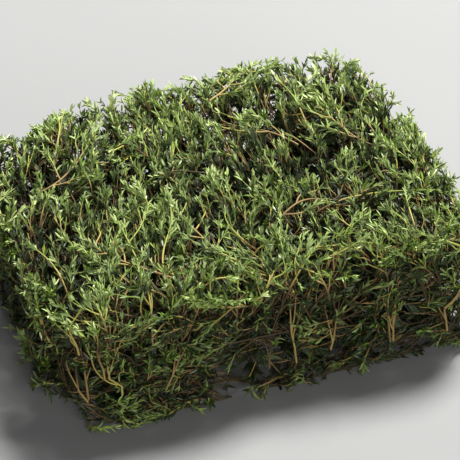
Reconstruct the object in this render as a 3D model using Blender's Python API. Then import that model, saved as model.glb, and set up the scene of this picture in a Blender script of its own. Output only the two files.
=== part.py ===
"""A fresh thyme bundle: one heap of cut, leafy thyme sprigs, packed side by side and lying on a flat surface.

The heap is as wide as X, as deep as Y and rests on Z = 0. Its origin is the bottom centre of its box.
Every sprig grew as one piece, so every sprig is one solid: a woody stem with its side shoots, whose leafy
part is a slim spindle. The sprigs lean backwards in rows, like thatch: cut ends low and in front, tips
high and behind. A layer of sprigs lies across the front face, and loose ones lie on the crown.
"""

import bpy
import numpy as np
from mathutils.bvhtree import BVHTree

# Driving dimensions of the heap, in metres
WIDTH = 0.284
DEPTH = 0.232
CORNER = 0.040
CROWN_HEIGHT = 0.087
CROWN_RISE_TO_BACK = 0.014
CROWN_MOUND = 0.006
CROWN_CORNER_FALL = 0.030
CROWN_RIPPLE = 0.003
EDGE_DROP = 0.010
EDGE_ROUND = 0.024
HEAP_MIDDLE = (-0.0004, 0.0003)

# The leaning rows
ROWS = 14
CROSS_ROWS = 3
LANES = 3
FRONT_TOP = -0.094
BACK_TOP = 0.106
LEAN_FRONT = 0.104
LEAN_BACK = 0.040
LEAN_SHAPE = 0.62
SWEEP = 0.030
SWEEP_CENTRE = 0.036
SWEEP_WIDTH = 0.056
ROW_WAVE = 0.005
ROW_FRONT = -0.0925
LANE_GAP = 0.0055
LANE_SHIFT = 0.017
SHOOTS_PER_FAN = 8
CROSS_SHOOTS = 8
FOOT = 0.009

# The layers that lie along the front and along the foot of the back
FRONT_ROWS = 4
FRONT_Y = -0.1120
FRONT_FIRST_Z = 0.0080
FRONT_STEP_Z = 0.0170
BACK_ROWS = 3
BACK_Y = 0.1060
BACK_STEP_Z = 0.0230
WALL_TAPER = 0.040
LAYER_STEP_Y = 0.0068
LAYER_SLOPE = 0.0070

# A sprig's own sizes
STEM_RADIUS = 0.00135
TWIG_RADIUS = 0.00080
LEAFY_RADIUS = 0.00235
SHOULDER_RADIUS = 0.00165
CLEARANCE = 0.0056
OWN_CLEARANCE = 0.0050
OWN_SHARE = 0.45
TWIG_GAP = 0.0026
SHORTEST_SHOOT = 0.013
SAMPLES = 24
STEM_BENDS = (0, 0.16, 0.34, 0.56, 0.78, 0.92, 1)
SHOOT_BENDS = (0, 0.20, 0.52, 0.86, 1)
SEED = 20

# Loose sprigs on the crown: x, y of the cut end, x, y of the tip, sideways bow, lift above the crown
LOOSE_SPRIGS = (
    (-0.062, -0.096, -0.100, -0.028, 0.006, 0.0010),
    (-0.030, -0.088, -0.044, -0.014, -0.004, 0.0015),
    (0.004, -0.062, 0.096, -0.044, 0.007, 0.0010),
    (-0.112, 0.026, -0.060, 0.066, -0.006, 0.0010),
    (-0.004, -0.004, -0.046, 0.054, 0.006, 0.0010),
    (0.058, 0.010, 0.006, 0.070, -0.006, 0.0012),
    (0.112, -0.010, 0.078, 0.066, 0.005, 0.0010),
    (0.020, 0.076, 0.060, 0.112, -0.004, 0.0100),
)


def side_limit(y):
    """Half the heap's width at this depth, with rounded corners."""
    past = max(0.0, abs(y) - (DEPTH / 2 - CORNER))
    return WIDTH / 2 - CORNER + np.sqrt(max(CORNER**2 - past**2, 0.0))


def crown(x, y):
    """Height of the heap's top over a point."""
    across, along = 2 * x / WIDTH, 2 * y / DEPTH
    inside = min(side_limit(y) - abs(x), DEPTH / 2 - abs(y))
    edge = EDGE_DROP * (1 - np.clip(inside / EDGE_ROUND, 0, 1)) ** 2
    mound = CROWN_MOUND * (1 - across**2) * (1 - along**2)
    slope = CROWN_RISE_TO_BACK * along / 2 - CROWN_CORNER_FALL * max(0.0, -across) ** 2 * max(0.0, along)
    ripple = CROWN_RIPPLE * np.sin(41 * x + 1.3) * np.cos(37 * y + 0.7)
    return CROWN_HEIGHT + slope + mound + ripple - edge


def lean_of(row):
    """How far a row's tips lie behind its foot, and where that foot is."""
    share = (row + 0.5) / ROWS
    lean = LEAN_FRONT + (LEAN_BACK - LEAN_FRONT) * share
    return lean, FRONT_TOP + (BACK_TOP - FRONT_TOP) * share - lean


def on_row(row, x, height, off=0.0):
    """The point of a leaning row at a share of the crown's height, moved off the row along its normal."""
    lean, foot = lean_of(row)
    top = crown(x, np.clip(foot + lean, -DEPTH / 2, DEPTH / 2))
    wave = ROW_WAVE * np.sin(33 * x + 0.8) * height
    y = foot + lean * (LEAN_SHAPE * height + (1 - LEAN_SHAPE) * height**2) + wave
    run = lean * (LEAN_SHAPE + 2 * (1 - LEAN_SHAPE) * height)
    length = np.hypot(run, top)
    sweep = SWEEP * np.exp(-(((x - SWEEP_CENTRE) / SWEEP_WIDTH) ** 2)) * height**2
    return np.array([x - sweep, y + off * top / length, height * top - off * run / length])


def row_start(row):
    """The share of the crown's height at which a row enters the heap, at its front or at the surface below."""
    lean, foot = lean_of(row)
    heights = np.linspace(0.02, 1, 400)
    depths = foot + lean * (LEAN_SHAPE * heights + (1 - LEAN_SHAPE) * heights**2)
    return float(heights[np.argmax(depths >= ROW_FRONT)])


def shoot(points, bare, stem=False):
    """A shoot: its line, the share of it that carries no leaves, and whether it is the sprig's main stem."""
    return {"line": np.array(points), "bare": bare, "stem": stem}


def fan(random, row, left, right, root):
    """A sprig in a leaning row: a main stem that rises from its root, and side shoots that fan out to fill its lane."""
    start = row_start(row)
    targets = np.linspace(left, right, SHOOTS_PER_FAN)
    targets[1:-1] += random.uniform(-0.002, 0.002, SHOOTS_PER_FAN - 2)
    middle = SHOOTS_PER_FAN // 2 - random.randint(0, 2)
    reach = random.uniform(0.94, 1.02)
    steps = np.linspace(0, 1, SAMPLES)

    def across(share, goal):
        return root + (goal - root) * share**1.4

    def main_at(share):
        height = start + (reach - start) * share
        return on_row(row, across(share, targets[middle]), height)

    line = [main_at(share) for share in steps]
    if start < 0.05:
        foot = line[0] - np.array([0, FOOT, 0])
        line = [foot, *line[: SAMPLES - 1]]
        line[0][2] = line[1][2] = STEM_RADIUS * 0.4
    shoots = [shoot(line, 0.42, True)]
    for place, goal in enumerate(targets):
        if place == middle:
            continue
        outward = abs(place - middle) / max(middle, SHOOTS_PER_FAN - 1 - middle)
        leaves_at = 0.06 + 0.42 * (1 - outward) + random.uniform(-0.03, 0.04)
        tip = random.uniform(0.86, 1.03)
        off = random.choice((-1, 1)) * random.uniform(0.0012, 0.0026)
        wiggle, phase = random.uniform(0.0006, 0.0016), random.uniform(0, 6.3)
        first = across(leaves_at, targets[middle])
        height_0 = start + (reach - start) * leaves_at
        points = []
        for share in steps:
            height = height_0 + (tip - height_0) * share
            x = first + (goal - first) * (1 - (1 - share) ** 2.8)
            x += wiggle * np.sin(9 * share + phase) * share
            points.append(on_row(row, x, height, off * min(1.0, 3 * share)))
        shoots.append(shoot(points, 0.16 + 0.10 * (1 - outward)))
    return shoots


def cross(random, row, left, right, flipped):
    """A sprig that lies along a short row near the front, with its side shoots rising to the crown."""
    start = row_start(row)
    steps = np.linspace(0, 1, SAMPLES)
    low = start + 0.10 * (1 - start)
    ends = (right, left) if flipped else (left, right)

    def stem_at(share):
        x = ends[0] + (ends[1] - ends[0]) * share
        rise = low + (0.90 - low) * np.clip((share - 0.72) / 0.28, 0, 1) ** 1.6
        return x, rise + 0.03 * np.sin(7 * share)

    line = [on_row(row, *stem_at(share)) for share in steps]
    shoots = [shoot(line, 0.35, True)]
    for place in range(CROSS_SHOOTS):
        at = 0.08 + 0.74 * (place + random.uniform(-0.15, 0.15)) / (CROSS_SHOOTS - 1)
        at = max(at, 0.05)
        x_0, height_0 = stem_at(at)
        drift = (ends[1] - ends[0]) * random.uniform(0.07, 0.13)
        tip = random.uniform(0.90, 1.03)
        off = random.choice((-1, 1)) * random.uniform(0.0010, 0.0024)
        points = []
        for share in steps:
            height = height_0 + (tip - height_0) * share
            points.append(on_row(row, x_0 + drift * (1 - (1 - share) ** 2), height, off * min(1, 3 * share)))
        shoots.append(shoot(points, 0.10))
    return shoots


def lying(random, level, face, step, left, right, flipped):
    """A sprig that lies along the front or the back face, with short side shoots up and down in the same layer."""
    steps = np.linspace(0, 1, SAMPLES)
    out = np.sign(face)
    height = FRONT_FIRST_Z + step * level
    layer = face * (1 - WALL_TAPER * (1 - height / CROWN_HEIGHT)) - out * LAYER_STEP_Y * (level % 2)
    slope, bow = random.uniform(-LAYER_SLOPE, LAYER_SLOPE), random.uniform(-0.0022, 0.0022)
    if level == 0:
        height, slope, bow = STEM_RADIUS * 0.4, 0.0, 0.0
    ends = (right, left) if flipped else (left, right)

    def stem_at(share):
        x = ends[0] + (ends[1] - ends[0]) * share
        z = height + slope * (2 * share - 1) + bow * np.sin(np.pi * share)
        if level == 0:
            z += 0.006 * np.clip((share - 0.45) / 0.55, 0, 1) ** 1.5
        inward = max(0.0, abs(x) - (WIDTH / 2 - CORNER))
        return np.array([x, layer - out * (CORNER - np.sqrt(CORNER**2 - min(inward, CORNER * 0.98) ** 2)), z])

    shoots = [shoot([stem_at(share) for share in steps], 0.30, True)]
    count = 7
    for place in range(count):
        start = max(0.06, 0.08 + 0.76 * (place + random.uniform(-0.2, 0.2)) / (count - 1))
        rise = (1 if place % 2 == 0 else -1) * random.uniform(0.0065, 0.0100)
        if level == 0:
            rise = random.uniform(0.008, 0.013)
        run = np.sign(ends[1] - ends[0]) * random.uniform(0.022, 0.034)
        off = random.choice((-1, 1)) * random.uniform(0.0008, 0.0022)
        points = []
        for share in steps:
            point = stem_at(np.clip(start + run / (ends[1] - ends[0]) * share, 0, 1))
            points.append(point + np.array([0, off * share, rise * (1 - (1 - share) ** 2)]))
        shoots.append(shoot(points, 0.12))
    return shoots


def loose(random, x_0, y_0, x_1, y_1, bow, lift):
    """A loose sprig on the crown, which follows it from the cut end to the tip."""
    steps = np.linspace(0, 1, SAMPLES)
    run = np.array([x_1 - x_0, y_1 - y_0])
    length = np.hypot(*run)
    side = np.array([-run[1], run[0]]) / length

    def flat_at(share):
        return np.array([x_0, y_0]) + run * share + side * bow * np.sin(np.pi * share)

    def stem_at(share):
        x, y = flat_at(share)
        return np.array([x, y, crown(x, y) + lift + 0.004 * (share - 0.5) ** 2 - 0.002 * (1 - share)])

    shoots = [shoot([stem_at(share) for share in steps], 0.28, True)]
    count = 5
    for place in range(count):
        at = 0.16 + 0.56 * place / (count - 1) + random.uniform(-0.03, 0.03)
        hand = 1 if place % 2 else -1
        reach = length * random.uniform(0.22, 0.34)
        base = stem_at(at)
        heading = run / length
        points = []
        for share in steps:
            flat = flat_at(at) + heading * reach * share + hand * side * 0.011 * (1 - (1 - share) ** 2)
            z = crown(*flat) + lift + 0.0012 * hand * share
            points.append(np.array([*flat, base[2] + (z - base[2]) * min(1, 2 * share)]))
        shoots.append(shoot(points, 0.12))
    return shoots


def length_of(line):
    return float(np.linalg.norm(np.diff(line, axis=0), axis=1).sum())


def resampled(line, count):
    """The same line with evenly spaced points."""
    along = np.concatenate([[0], np.cumsum(np.linalg.norm(np.diff(line, axis=0), axis=1))])
    wanted = np.linspace(0, along[-1], count)
    return np.stack([np.interp(wanted, along, line[:, axis]) for axis in range(3)], 1)


def faceted(line, bends):
    """The line as straight runs between a few bends, which is how the solid follows it."""
    corners = np.array([at(line, share) for share in bends])
    return resampled(corners, 2 * SAMPLES)


def at(line, share):
    """The point of an evenly spaced line at a share of its length."""
    along = np.linspace(0, 1, len(line))
    return np.array([np.interp(share, along, line[:, axis]) for axis in range(3)])


def gaps_to(line, others):
    """Each point's distance to the nearest of the other points."""
    return np.linalg.norm(line[:, None] - others[None], axis=2).min(axis=1)


def kept_clear(shoots, taken):
    """The shoots of one sprig, each ended where it would come too near a sprig in place or a shoot of its own."""
    kept = []
    for one in shoots:
        bends = STEM_BENDS if one["stem"] else SHOOT_BENDS
        line = faceted(resampled(one["line"], 2 * SAMPLES), bends)
        near = np.zeros(len(line), bool)
        if len(taken):
            near |= gaps_to(line, taken) < CLEARANCE
        if kept:
            close = gaps_to(line, kept[0]["line"]) < OWN_CLEARANCE
            away = np.argmin(close)
            near[away:] |= close[away:]
        if kept[1:]:
            between = gaps_to(line, np.concatenate([other["line"] for other in kept[1:]]))
            walked = np.linspace(0, length_of(line), len(line))
            near |= (between < TWIG_GAP) & (walked > 2 * TWIG_GAP)
            near |= (between < OWN_CLEARANCE) & (walked > 0.3 * walked[-1])
        if near.any():
            line = line[: np.argmax(near)]
        if len(line) > 3 and length_of(line) > SHORTEST_SHOOT:
            kept.append({**one, "line": faceted(resampled(line, 2 * SAMPLES), bends)})
        elif one["stem"]:
            return []
    return kept


def sprigs():
    """Every sprig of the heap by name, as its shoots with the main stem first. Lower and outer ones come first."""
    random = np.random.RandomState(SEED)
    planned = []
    for number, spot in enumerate(LOOSE_SPRIGS):
        planned.append((f"crown_sprig_{number + 1:02d}", loose(random, *spot)))
    limit = WIDTH / 2 - 0.020
    layers = [("front", FRONT_Y, FRONT_STEP_Z, level) for level in range(FRONT_ROWS)]
    layers += [("back", BACK_Y, BACK_STEP_Z, level) for level in range(BACK_ROWS)]
    for place, face, step, level in layers:
        middle = random.uniform(-0.024, 0.024)
        for part, (left, right) in enumerate(((-limit, middle - 0.006), (middle + 0.006, limit))):
            name = f"{place}_sprig_{level + 1}_{('left', 'right')[part]}"
            planned.append((name, lying(random, level, face, step, left, right, (level + part) % 2 == 0)))
    for row in range(ROWS):
        lean, foot = lean_of(row)
        limit = side_limit(np.clip(foot + lean + 0.004, -DEPTH / 2, DEPTH / 2)) - 0.004
        if row < CROSS_ROWS:
            middle = random.uniform(-0.02, 0.02)
            for part, (left, right) in enumerate(((-limit, middle - 0.006), (middle + 0.006, limit))):
                name = f"cross_sprig_{row + 1}_{('left', 'right')[part]}"
                planned.append((name, cross(random, row, left, right, (row + part) % 2 == 0)))
            continue
        walls = np.linspace(-limit, limit, LANES + 1)
        walls[1:-1] += LANE_SHIFT * (-1) ** row + random.uniform(-0.008, 0.008, LANES - 1)
        for lane in range(LANES):
            left, right = walls[lane] + LANE_GAP * (lane > 0), walls[lane + 1] - LANE_GAP * (lane < LANES - 1)
            root = left + (right - left) * random.uniform(0.22, 0.78)
            name = f"row_{row - CROSS_ROWS + 1:02d}_{('left', 'middle', 'right')[lane]}_sprig"
            planned.append((name, fan(random, row, left, right, root)))
    grown, taken = {}, np.zeros((0, 3))
    for name, shoots in planned:
        kept = kept_clear(shoots, taken)
        if kept:
            grown[name] = kept
            taken = np.concatenate([taken, *(one["line"] for one in kept)])
    return grown


def radius_at(share, bare, stem):
    """A shoot's radius: a bare twig, then the spindle of its leaves, then the tip."""
    twig = STEM_RADIUS if stem else TWIG_RADIUS
    shares = (0, bare, min(bare + 0.22, 0.7), 0.88, 1)
    radii = (twig, twig * 0.9, LEAFY_RADIUS, SHOULDER_RADIUS, 0)
    return float(np.interp(share, shares, radii))


def heading(line, share):
    """The line's direction there."""
    ahead = at(line, min(share + 0.04, 1)) - at(line, max(share - 0.04, 0))
    return ahead / np.linalg.norm(ahead)


def turned(vectors, old, new):
    """Vectors carried along by the smallest turn from the old direction to the new one."""
    axis = np.cross(old, new)
    product = float(old @ new)
    return vectors * product + np.cross(axis, vectors) + np.outer(vectors @ axis, axis) / (1 + product)


def stem_stations(shoots):
    """Where the main stem has rings: its own, and a pair of rings round the foot of each side shoot."""
    line = shoots[0]["line"]
    half = TWIG_RADIUS / length_of(line)
    samples = np.array([at(line, share) for share in np.linspace(0, 1, 400)])
    feet, last = [], 0.0
    for one in sorted(shoots[1:], key=lambda one: int(np.argmin(gaps_to(samples, one["line"][:1])))):
        foot = np.argmin(gaps_to(samples, one["line"][:1])) / 399
        if foot < 0.95 and last < foot + 1.6 * half:
            last = max(foot, last + 3.2 * half)
            feet.append((last, one))
    stations = [(foot + side * half, order) for order, (foot, _) in enumerate(feet) for side in (-1, 1)]
    for own in STEM_BENDS[:-1]:
        if all(abs(own - foot) > 2.6 * half for foot, _ in feet):
            stations.append((own, -1))
    return sorted(stations), [one for _, one in feet]


def room(point, others):
    """The radius that a sprig's own neighbouring shoots leave free round a point."""
    return OWN_SHARE * min((float(gaps_to(point[None], line)[0]) for line in others), default=1.0)


def graft(vertices, faces, corners, normal, shoots, one):
    """A side shoot pulled out of one facet of its stem: four corners, a few rings and a tip."""
    line = one["line"]
    steps = np.linspace(0, 1, 60)
    far = gaps_to(np.array([at(line, share) for share in steps]), shoots[0]["line"]) > 0.0026
    first = max(SHOOT_BENDS[1], steps[np.argmax(far)])
    leafy = max(SHOOT_BENDS[2], first + 0.10)
    others = [other["line"] for other in shoots if other is not one]
    centre = np.mean([vertices[corner] for corner in corners], axis=0)
    arms = np.array([np.array(vertices[corner]) - centre for corner in corners])
    arms -= np.outer(arms @ normal, normal)
    arms /= np.linalg.norm(arms, axis=1)[:, None]
    before, direction = list(corners), normal
    for share in (first, leafy, SHOOT_BENDS[3]):
        ahead = heading(line, share)
        arms, direction = turned(arms, direction, ahead), ahead
        radius = min(TWIG_RADIUS if share == first else radius_at(share, one["bare"], False), room(at(line, share), others))
        ring = []
        for arm in arms:
            x, y, z = at(line, share) + radius * arm
            ring.append(len(vertices))
            vertices.append((x, y, max(z, 0.0)))
        for side in range(4):
            after = (side + 1) % 4
            faces.append((before[side], before[after], ring[after], ring[side]))
        before = ring
    vertices.append(tuple(line[-1]))
    for side in range(4):
        faces.append((before[side], before[(side + 1) % 4], len(vertices) - 1))


def shell(shoots):
    """One sprig as one closed shell: a square stem in rings, with its side shoots pulled out of its facets.
    It also says which side shoot each face belongs to, as its place in the list, or 0 for the stem."""
    line, bare = shoots[0]["line"], shoots[0]["bare"]
    stations, sides_shoots = stem_stations(shoots)
    clear_of_stem = [one["line"][gaps_to(one["line"], line) > 0.0026] for one in shoots[1:]]
    clear_of_stem = [points for points in clear_of_stem if len(points)]
    vertices, faces, owners = [], [], []
    ahead = heading(line, stations[0][0])
    level = np.cross(ahead, [0, 0, 1.0])
    level /= np.linalg.norm(level)
    frame = np.array([level, np.cross(level, ahead)])
    normals = []
    for share, _ in stations:
        now = heading(line, share)
        frame, ahead = turned(frame, ahead, now), now
        radius = min(radius_at(share, bare, True), max(STEM_RADIUS * 0.8, room(at(line, share), clear_of_stem)))
        for side in range(4):
            angle = np.pi / 4 + np.pi / 2 * side
            x, y, z = at(line, share) + radius * (np.cos(angle) * frame[0] + np.sin(angle) * frame[1])
            vertices.append((x, y, max(z, 0.0)))
        normals.append([np.cos(a) * frame[0] + np.sin(a) * frame[1] for a in np.pi / 2 * np.arange(1, 5)])
    vertices.append(tuple(line[-1]))
    for ring in range(len(stations) - 1):
        low, high = 4 * ring, 4 * ring + 4
        order = stations[ring][1]
        open_side = -1
        if order >= 0 and stations[ring + 1][1] == order:
            one = sides_shoots[order]
            towards = at(one["line"], 0.25) - at(line, stations[ring][0])
            open_side = int(np.argmax([normal @ towards for normal in normals[ring]]))
        for side in range(4):
            after = (side + 1) % 4
            corners = (low + side, high + side, high + after, low + after)
            if side == open_side:
                graft(vertices, faces, corners, normals[ring][side], shoots, one)
                place = next(k for k, other in enumerate(shoots) if other is one)
                owners += [place] * (len(faces) - len(owners))
            else:
                faces.append(corners)
                owners.append(0)
    tip, last = 4 * len(stations), 4 * (len(stations) - 1)
    for side in range(4):
        faces.append((last + side, tip, last + (side + 1) % 4))
    faces.append((0, 1, 2, 3))
    owners += [0] * (len(faces) - len(owners))
    return vertices, faces, owners


def solid(name, shoots):
    """The sprig's mesh. A side shoot that would pass through the rest of its own sprig is left off."""
    while True:
        vertices, faces, owners = shell(shoots)
        tree = BVHTree.FromPolygons(vertices, faces)
        crossed = [
            max(owners[one], owners[other])
            for one, other in tree.overlap(tree)
            if not set(faces[one]) & set(faces[other])
        ]
        if not crossed:
            break
        worst = max(set(crossed), key=crossed.count)
        shoots = shoots[:worst] + shoots[worst + 1 :]
    mesh = bpy.data.meshes.new(name)
    mesh.from_pydata(vertices, [], faces)
    return mesh


def thyme(name, colour, roughness):
    """A leafy finish: plain colour, no metal."""
    made = bpy.data.materials.new(name)
    made.use_nodes = True
    surface = made.node_tree.nodes["Principled BSDF"]
    surface.inputs["Base Color"].default_value = (*colour, 1)
    surface.inputs["Roughness"].default_value = roughness
    surface.inputs["Metallic"].default_value = 0
    return made


def sprig(name, shoots, finish):
    """One sprig in its place, with its own finish."""
    made = bpy.data.objects.new(name, solid(name, shoots))
    made.data.materials.append(finish)
    made.location = (-HEAP_MIDDLE[0], -HEAP_MIDDLE[1], 0)
    bpy.context.scene.collection.objects.link(made)
    return made


def main():
    for old in list(bpy.data.objects):
        bpy.data.objects.remove(old)
    finishes = {
        "crown": thyme("crown_leaves", (0.14, 0.21, 0.07), 0.55),
        "front": thyme("front_leaves", (0.11, 0.15, 0.05), 0.60),
        "cross": thyme("cross_leaves", (0.12, 0.18, 0.06), 0.58),
        "row": thyme("row_leaves", (0.12, 0.19, 0.06), 0.55),
        "back": thyme("back_leaves", (0.11, 0.15, 0.05), 0.60),
    }
    grown = sprigs()
    for name, shoots in grown.items():
        sprig(name, shoots, finishes[name.split("_")[0]])
    print(len(grown), "sprigs,", sum(len(shoots) for shoots in grown.values()), "shoots")


main()
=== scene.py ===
# %% [markdown]
# # A fresh thyme bundle
# This lesson dresses a imported model of a heap of cut thyme. The model holds one plain solid for each sprig, and
# the lesson grows the real look round the same lines: thin stems, square on the real plant and five-sided here,
# and thousands of small folded leaves.
# Everything is in metres, in the model's own frame: the heap rests on Z = 0 and its front faces -Y.

import math

import bpy
import numpy as np
from mathutils import Matrix, Vector


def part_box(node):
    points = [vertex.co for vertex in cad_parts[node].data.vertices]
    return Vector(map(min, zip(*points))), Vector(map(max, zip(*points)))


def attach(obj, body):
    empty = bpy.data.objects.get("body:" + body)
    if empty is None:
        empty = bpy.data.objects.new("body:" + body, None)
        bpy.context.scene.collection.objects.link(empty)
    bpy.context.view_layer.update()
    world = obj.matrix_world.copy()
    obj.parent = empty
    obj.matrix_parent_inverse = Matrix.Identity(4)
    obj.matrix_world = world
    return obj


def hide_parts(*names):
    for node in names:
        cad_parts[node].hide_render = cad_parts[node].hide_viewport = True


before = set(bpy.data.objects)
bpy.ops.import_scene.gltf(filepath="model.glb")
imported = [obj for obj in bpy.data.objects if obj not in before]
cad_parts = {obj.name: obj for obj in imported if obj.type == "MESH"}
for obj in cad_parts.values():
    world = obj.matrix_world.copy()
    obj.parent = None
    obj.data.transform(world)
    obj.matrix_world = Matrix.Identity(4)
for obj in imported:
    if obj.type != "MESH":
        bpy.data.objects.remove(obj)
bpy.context.view_layer.update()
print("sprigs in the model:", len(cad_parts))

# %% [markdown]
# ## The camera
# The heap is seen from the front and a little from the left, from above, with a long lens. A long lens keeps the
# far sprigs nearly as large as the near ones. The view is set from two angles, a slight roll and a distance.

# %% Set up the camera
SEEN_FROM_TURN, SEEN_FROM_RISE, CAMERA_ROLL = math.radians(-19.72), math.radians(33.39), math.radians(-0.41)
CAMERA_DISTANCE, CAMERA_LENS, SENSOR_WIDTH = 1.446, 187.1, 36
LOOKED_AT = Vector((-0.0139, -0.0589, 0.088))


def placed(name, data):
    """A new object in the scene, for a mesh, a camera or a lamp."""
    made = bpy.data.objects.new(name, data)
    bpy.context.scene.collection.objects.link(made)
    return made


backwards = Vector((math.sin(SEEN_FROM_TURN) * math.cos(SEEN_FROM_RISE),
                    -math.cos(SEEN_FROM_TURN) * math.cos(SEEN_FROM_RISE), math.sin(SEEN_FROM_RISE)))
rightwards = Vector((0, 0, 1)).cross(backwards).normalized()
upwards = backwards.cross(rightwards)
turn = Matrix((rightwards, upwards, backwards)).transposed().to_4x4() @ Matrix.Rotation(CAMERA_ROLL, 4, "Z")
lens = bpy.data.cameras.new("long_lens")
lens.lens, lens.sensor_width, lens.clip_start = CAMERA_LENS, SENSOR_WIDTH, 0.01
camera = placed("camera", lens)
camera.matrix_world = Matrix.Translation(LOOKED_AT + backwards * CAMERA_DISTANCE) @ turn
bpy.context.scene.camera = camera
print("camera at", [round(x, 3) for x in camera.matrix_world.translation])

# %% [markdown]
# ## Expressions for node trees
# Both materials and Geometry Nodes are trees of small sums. Typed by hand they are long, so a small class wraps a
# socket and lets Python's own signs add the Math nodes, with the number on either side. Any other node comes from
# one method, which takes the node's type, its settings and the values of its sockets.

# %% Wires, and nodes made from expressions
class Wire:
    """A socket in a node tree that can be added, multiplied and so on."""

    def __init__(self, tree, socket):
        self.tree, self.socket = tree, socket

    def sum_of(self, operation, *values):
        return node(self.tree, "ShaderNodeMath", {"operation": operation}, dict(enumerate(values)))[0]

    def above(self, other):
        return self.sum_of("GREATER_THAN", self, other)

    def held(self, low=0.0, high=1.0):
        return self.sum_of("MINIMUM", self.sum_of("MAXIMUM", self, low), high)

    def whole(self):
        return self.sum_of("FLOOR", self)

    def size(self):
        return self.sum_of("ABSOLUTE", self)

    def __neg__(self):
        return self.sum_of("MULTIPLY", self, -1.0)


SIGNS = (("ADD", "__add__", "__radd__"), ("SUBTRACT", "__sub__", "__rsub__"), ("MULTIPLY", "__mul__", "__rmul__"),
         ("DIVIDE", "__truediv__", "__rtruediv__"), ("POWER", "__pow__", "__rpow__"), ("MODULO", "__mod__", "__rmod__"))
for operation, forward, reflected in SIGNS:
    setattr(Wire, forward, lambda wire, other, operation=operation: wire.sum_of(operation, wire, other))
    setattr(Wire, reflected, lambda wire, other, operation=operation: wire.sum_of(operation, other, wire))


def node(tree, kind, settings=None, values=None):
    """Adds a node and returns its outputs as wires. Settings come first, because they decide which sockets show."""
    made = tree.nodes.new(kind)
    for name, value in (settings or {}).items():
        setattr(made, name, value)
    shown = [socket for socket in made.inputs if socket.enabled]
    for name, value in (values or {}).items():
        socket = shown[name] if isinstance(name, int) else next(s for s in shown if s.name == name)
        if isinstance(value, Wire):
            tree.links.new(value.socket, socket)
        else:
            socket.default_value = value
    return [Wire(tree, socket) for socket in made.outputs if socket.enabled]


print("a wire understands", len(SIGNS), "signs, with the number on either side")

# %% [markdown]
# ## How the heap lies
# A tossed heap of thyme settles like thatch: the sprigs lie over each other, cut ends low and in front, tips high
# and behind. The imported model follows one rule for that, and the look has to follow the same rule, so its sizes
# and its sums are repeated here. First come the outline and the top of the heap.

# %% The heap's outline and its crown
WIDTH, DEPTH, CORNER = 0.284, 0.232, 0.040
CROWN_HEIGHT, CROWN_RISE_TO_BACK, CROWN_MOUND = 0.087, 0.014, 0.006
CROWN_CORNER_FALL, CROWN_RIPPLE, RIPPLE_ACROSS, RIPPLE_ALONG = 0.030, 0.003, (41, 1.3), (37, 0.7)
EDGE_DROP, EDGE_ROUND = 0.010, 0.024
HEAP_MIDDLE = np.array([-0.0004, 0.0003, 0.0])
FULL_TURN = 2 * math.pi


def in_depth(y):
    """The depth itself, or the heap's front or back for a place beyond them."""
    return np.clip(y, -DEPTH / 2, DEPTH / 2)


def side_limit(y):
    """Half the heap's width at this depth, with rounded corners."""
    past = max(0.0, abs(y) - (DEPTH / 2 - CORNER))
    return WIDTH / 2 - CORNER + np.sqrt(max(CORNER**2 - past**2, 0.0))


def crown(x, y):
    """Height of the heap's top over a point."""
    across, along = 2 * x / WIDTH, 2 * y / DEPTH
    inside = min(side_limit(y) - abs(x), DEPTH / 2 - abs(y))
    edge = EDGE_DROP * (1 - np.clip(inside / EDGE_ROUND, 0, 1)) ** 2
    mound = CROWN_MOUND * (1 - across**2) * (1 - along**2)
    slope = CROWN_RISE_TO_BACK * along / 2 - CROWN_CORNER_FALL * max(0.0, -across) ** 2 * max(0.0, along)
    ripple = (CROWN_RIPPLE * np.sin(RIPPLE_ACROSS[0] * x + RIPPLE_ACROSS[1])
              * np.cos(RIPPLE_ALONG[0] * y + RIPPLE_ALONG[1]))
    return CROWN_HEIGHT + slope + mound + ripple - edge


print("crown over the middle:", round(float(crown(0, 0)), 4))

# %% [markdown]
# Each row of sprigs is a thin leaning sheet. A point on it is given by its place across the heap and by how high
# up the sheet it is, as a share of the crown's height.

# %% The leaning rows
ROWS, CROSS_ROWS, LANES = 14, 3, 3
FRONT_TOP, BACK_TOP = -0.094, 0.106
LEAN_FRONT, LEAN_BACK, LEAN_SHAPE = 0.104, 0.040, 0.62
SWEEP, SWEEP_CENTRE, SWEEP_WIDTH = 0.030, 0.036, 0.056
ROW_WAVE, ROW_BENDS, ROW_FRONT = 0.005, (33, 0.8), -0.0925
LANE_GAP, LANE_SHIFT = 0.0055, 0.017
SHOOTS_PER_FAN, CROSS_SHOOTS, FOOT = 8, 8, 0.009
STEM_RADIUS, LOW_START, SAMPLES, SEED = 0.00135, 0.05, 24, 20
STEM_REST, STEPS = STEM_RADIUS * 0.4, np.linspace(0, 1, SAMPLES)


def lean_of(row):
    """How far a row's tips lie behind its foot, and where that foot is."""
    share = (row + 0.5) / ROWS
    lean = LEAN_FRONT + (LEAN_BACK - LEAN_FRONT) * share
    return lean, FRONT_TOP + (BACK_TOP - FRONT_TOP) * share - lean


def on_row(row, x, height, off=0.0):
    """The point of a leaning row at a share of the crown's height, moved off the row along its normal."""
    lean, foot = lean_of(row)
    top = crown(x, in_depth(foot + lean))
    wave = ROW_WAVE * np.sin(ROW_BENDS[0] * x + ROW_BENDS[1]) * height
    y = foot + lean * (LEAN_SHAPE * height + (1 - LEAN_SHAPE) * height**2) + wave
    run = lean * (LEAN_SHAPE + 2 * (1 - LEAN_SHAPE) * height)
    length = np.hypot(run, top)
    sweep = SWEEP * np.exp(-(((x - SWEEP_CENTRE) / SWEEP_WIDTH) ** 2)) * height**2
    return np.array([x - sweep, y + off * top / length, height * top - off * run / length])


def row_start(row):
    """The share of the crown's height at which a row enters the heap, at its front or at the surface below."""
    lean, foot = lean_of(row)
    heights = np.linspace(0.02, 1, 400)
    depths = foot + lean * (LEAN_SHAPE * heights + (1 - LEAN_SHAPE) * heights**2)
    return float(heights[np.argmax(depths >= ROW_FRONT)])


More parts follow.
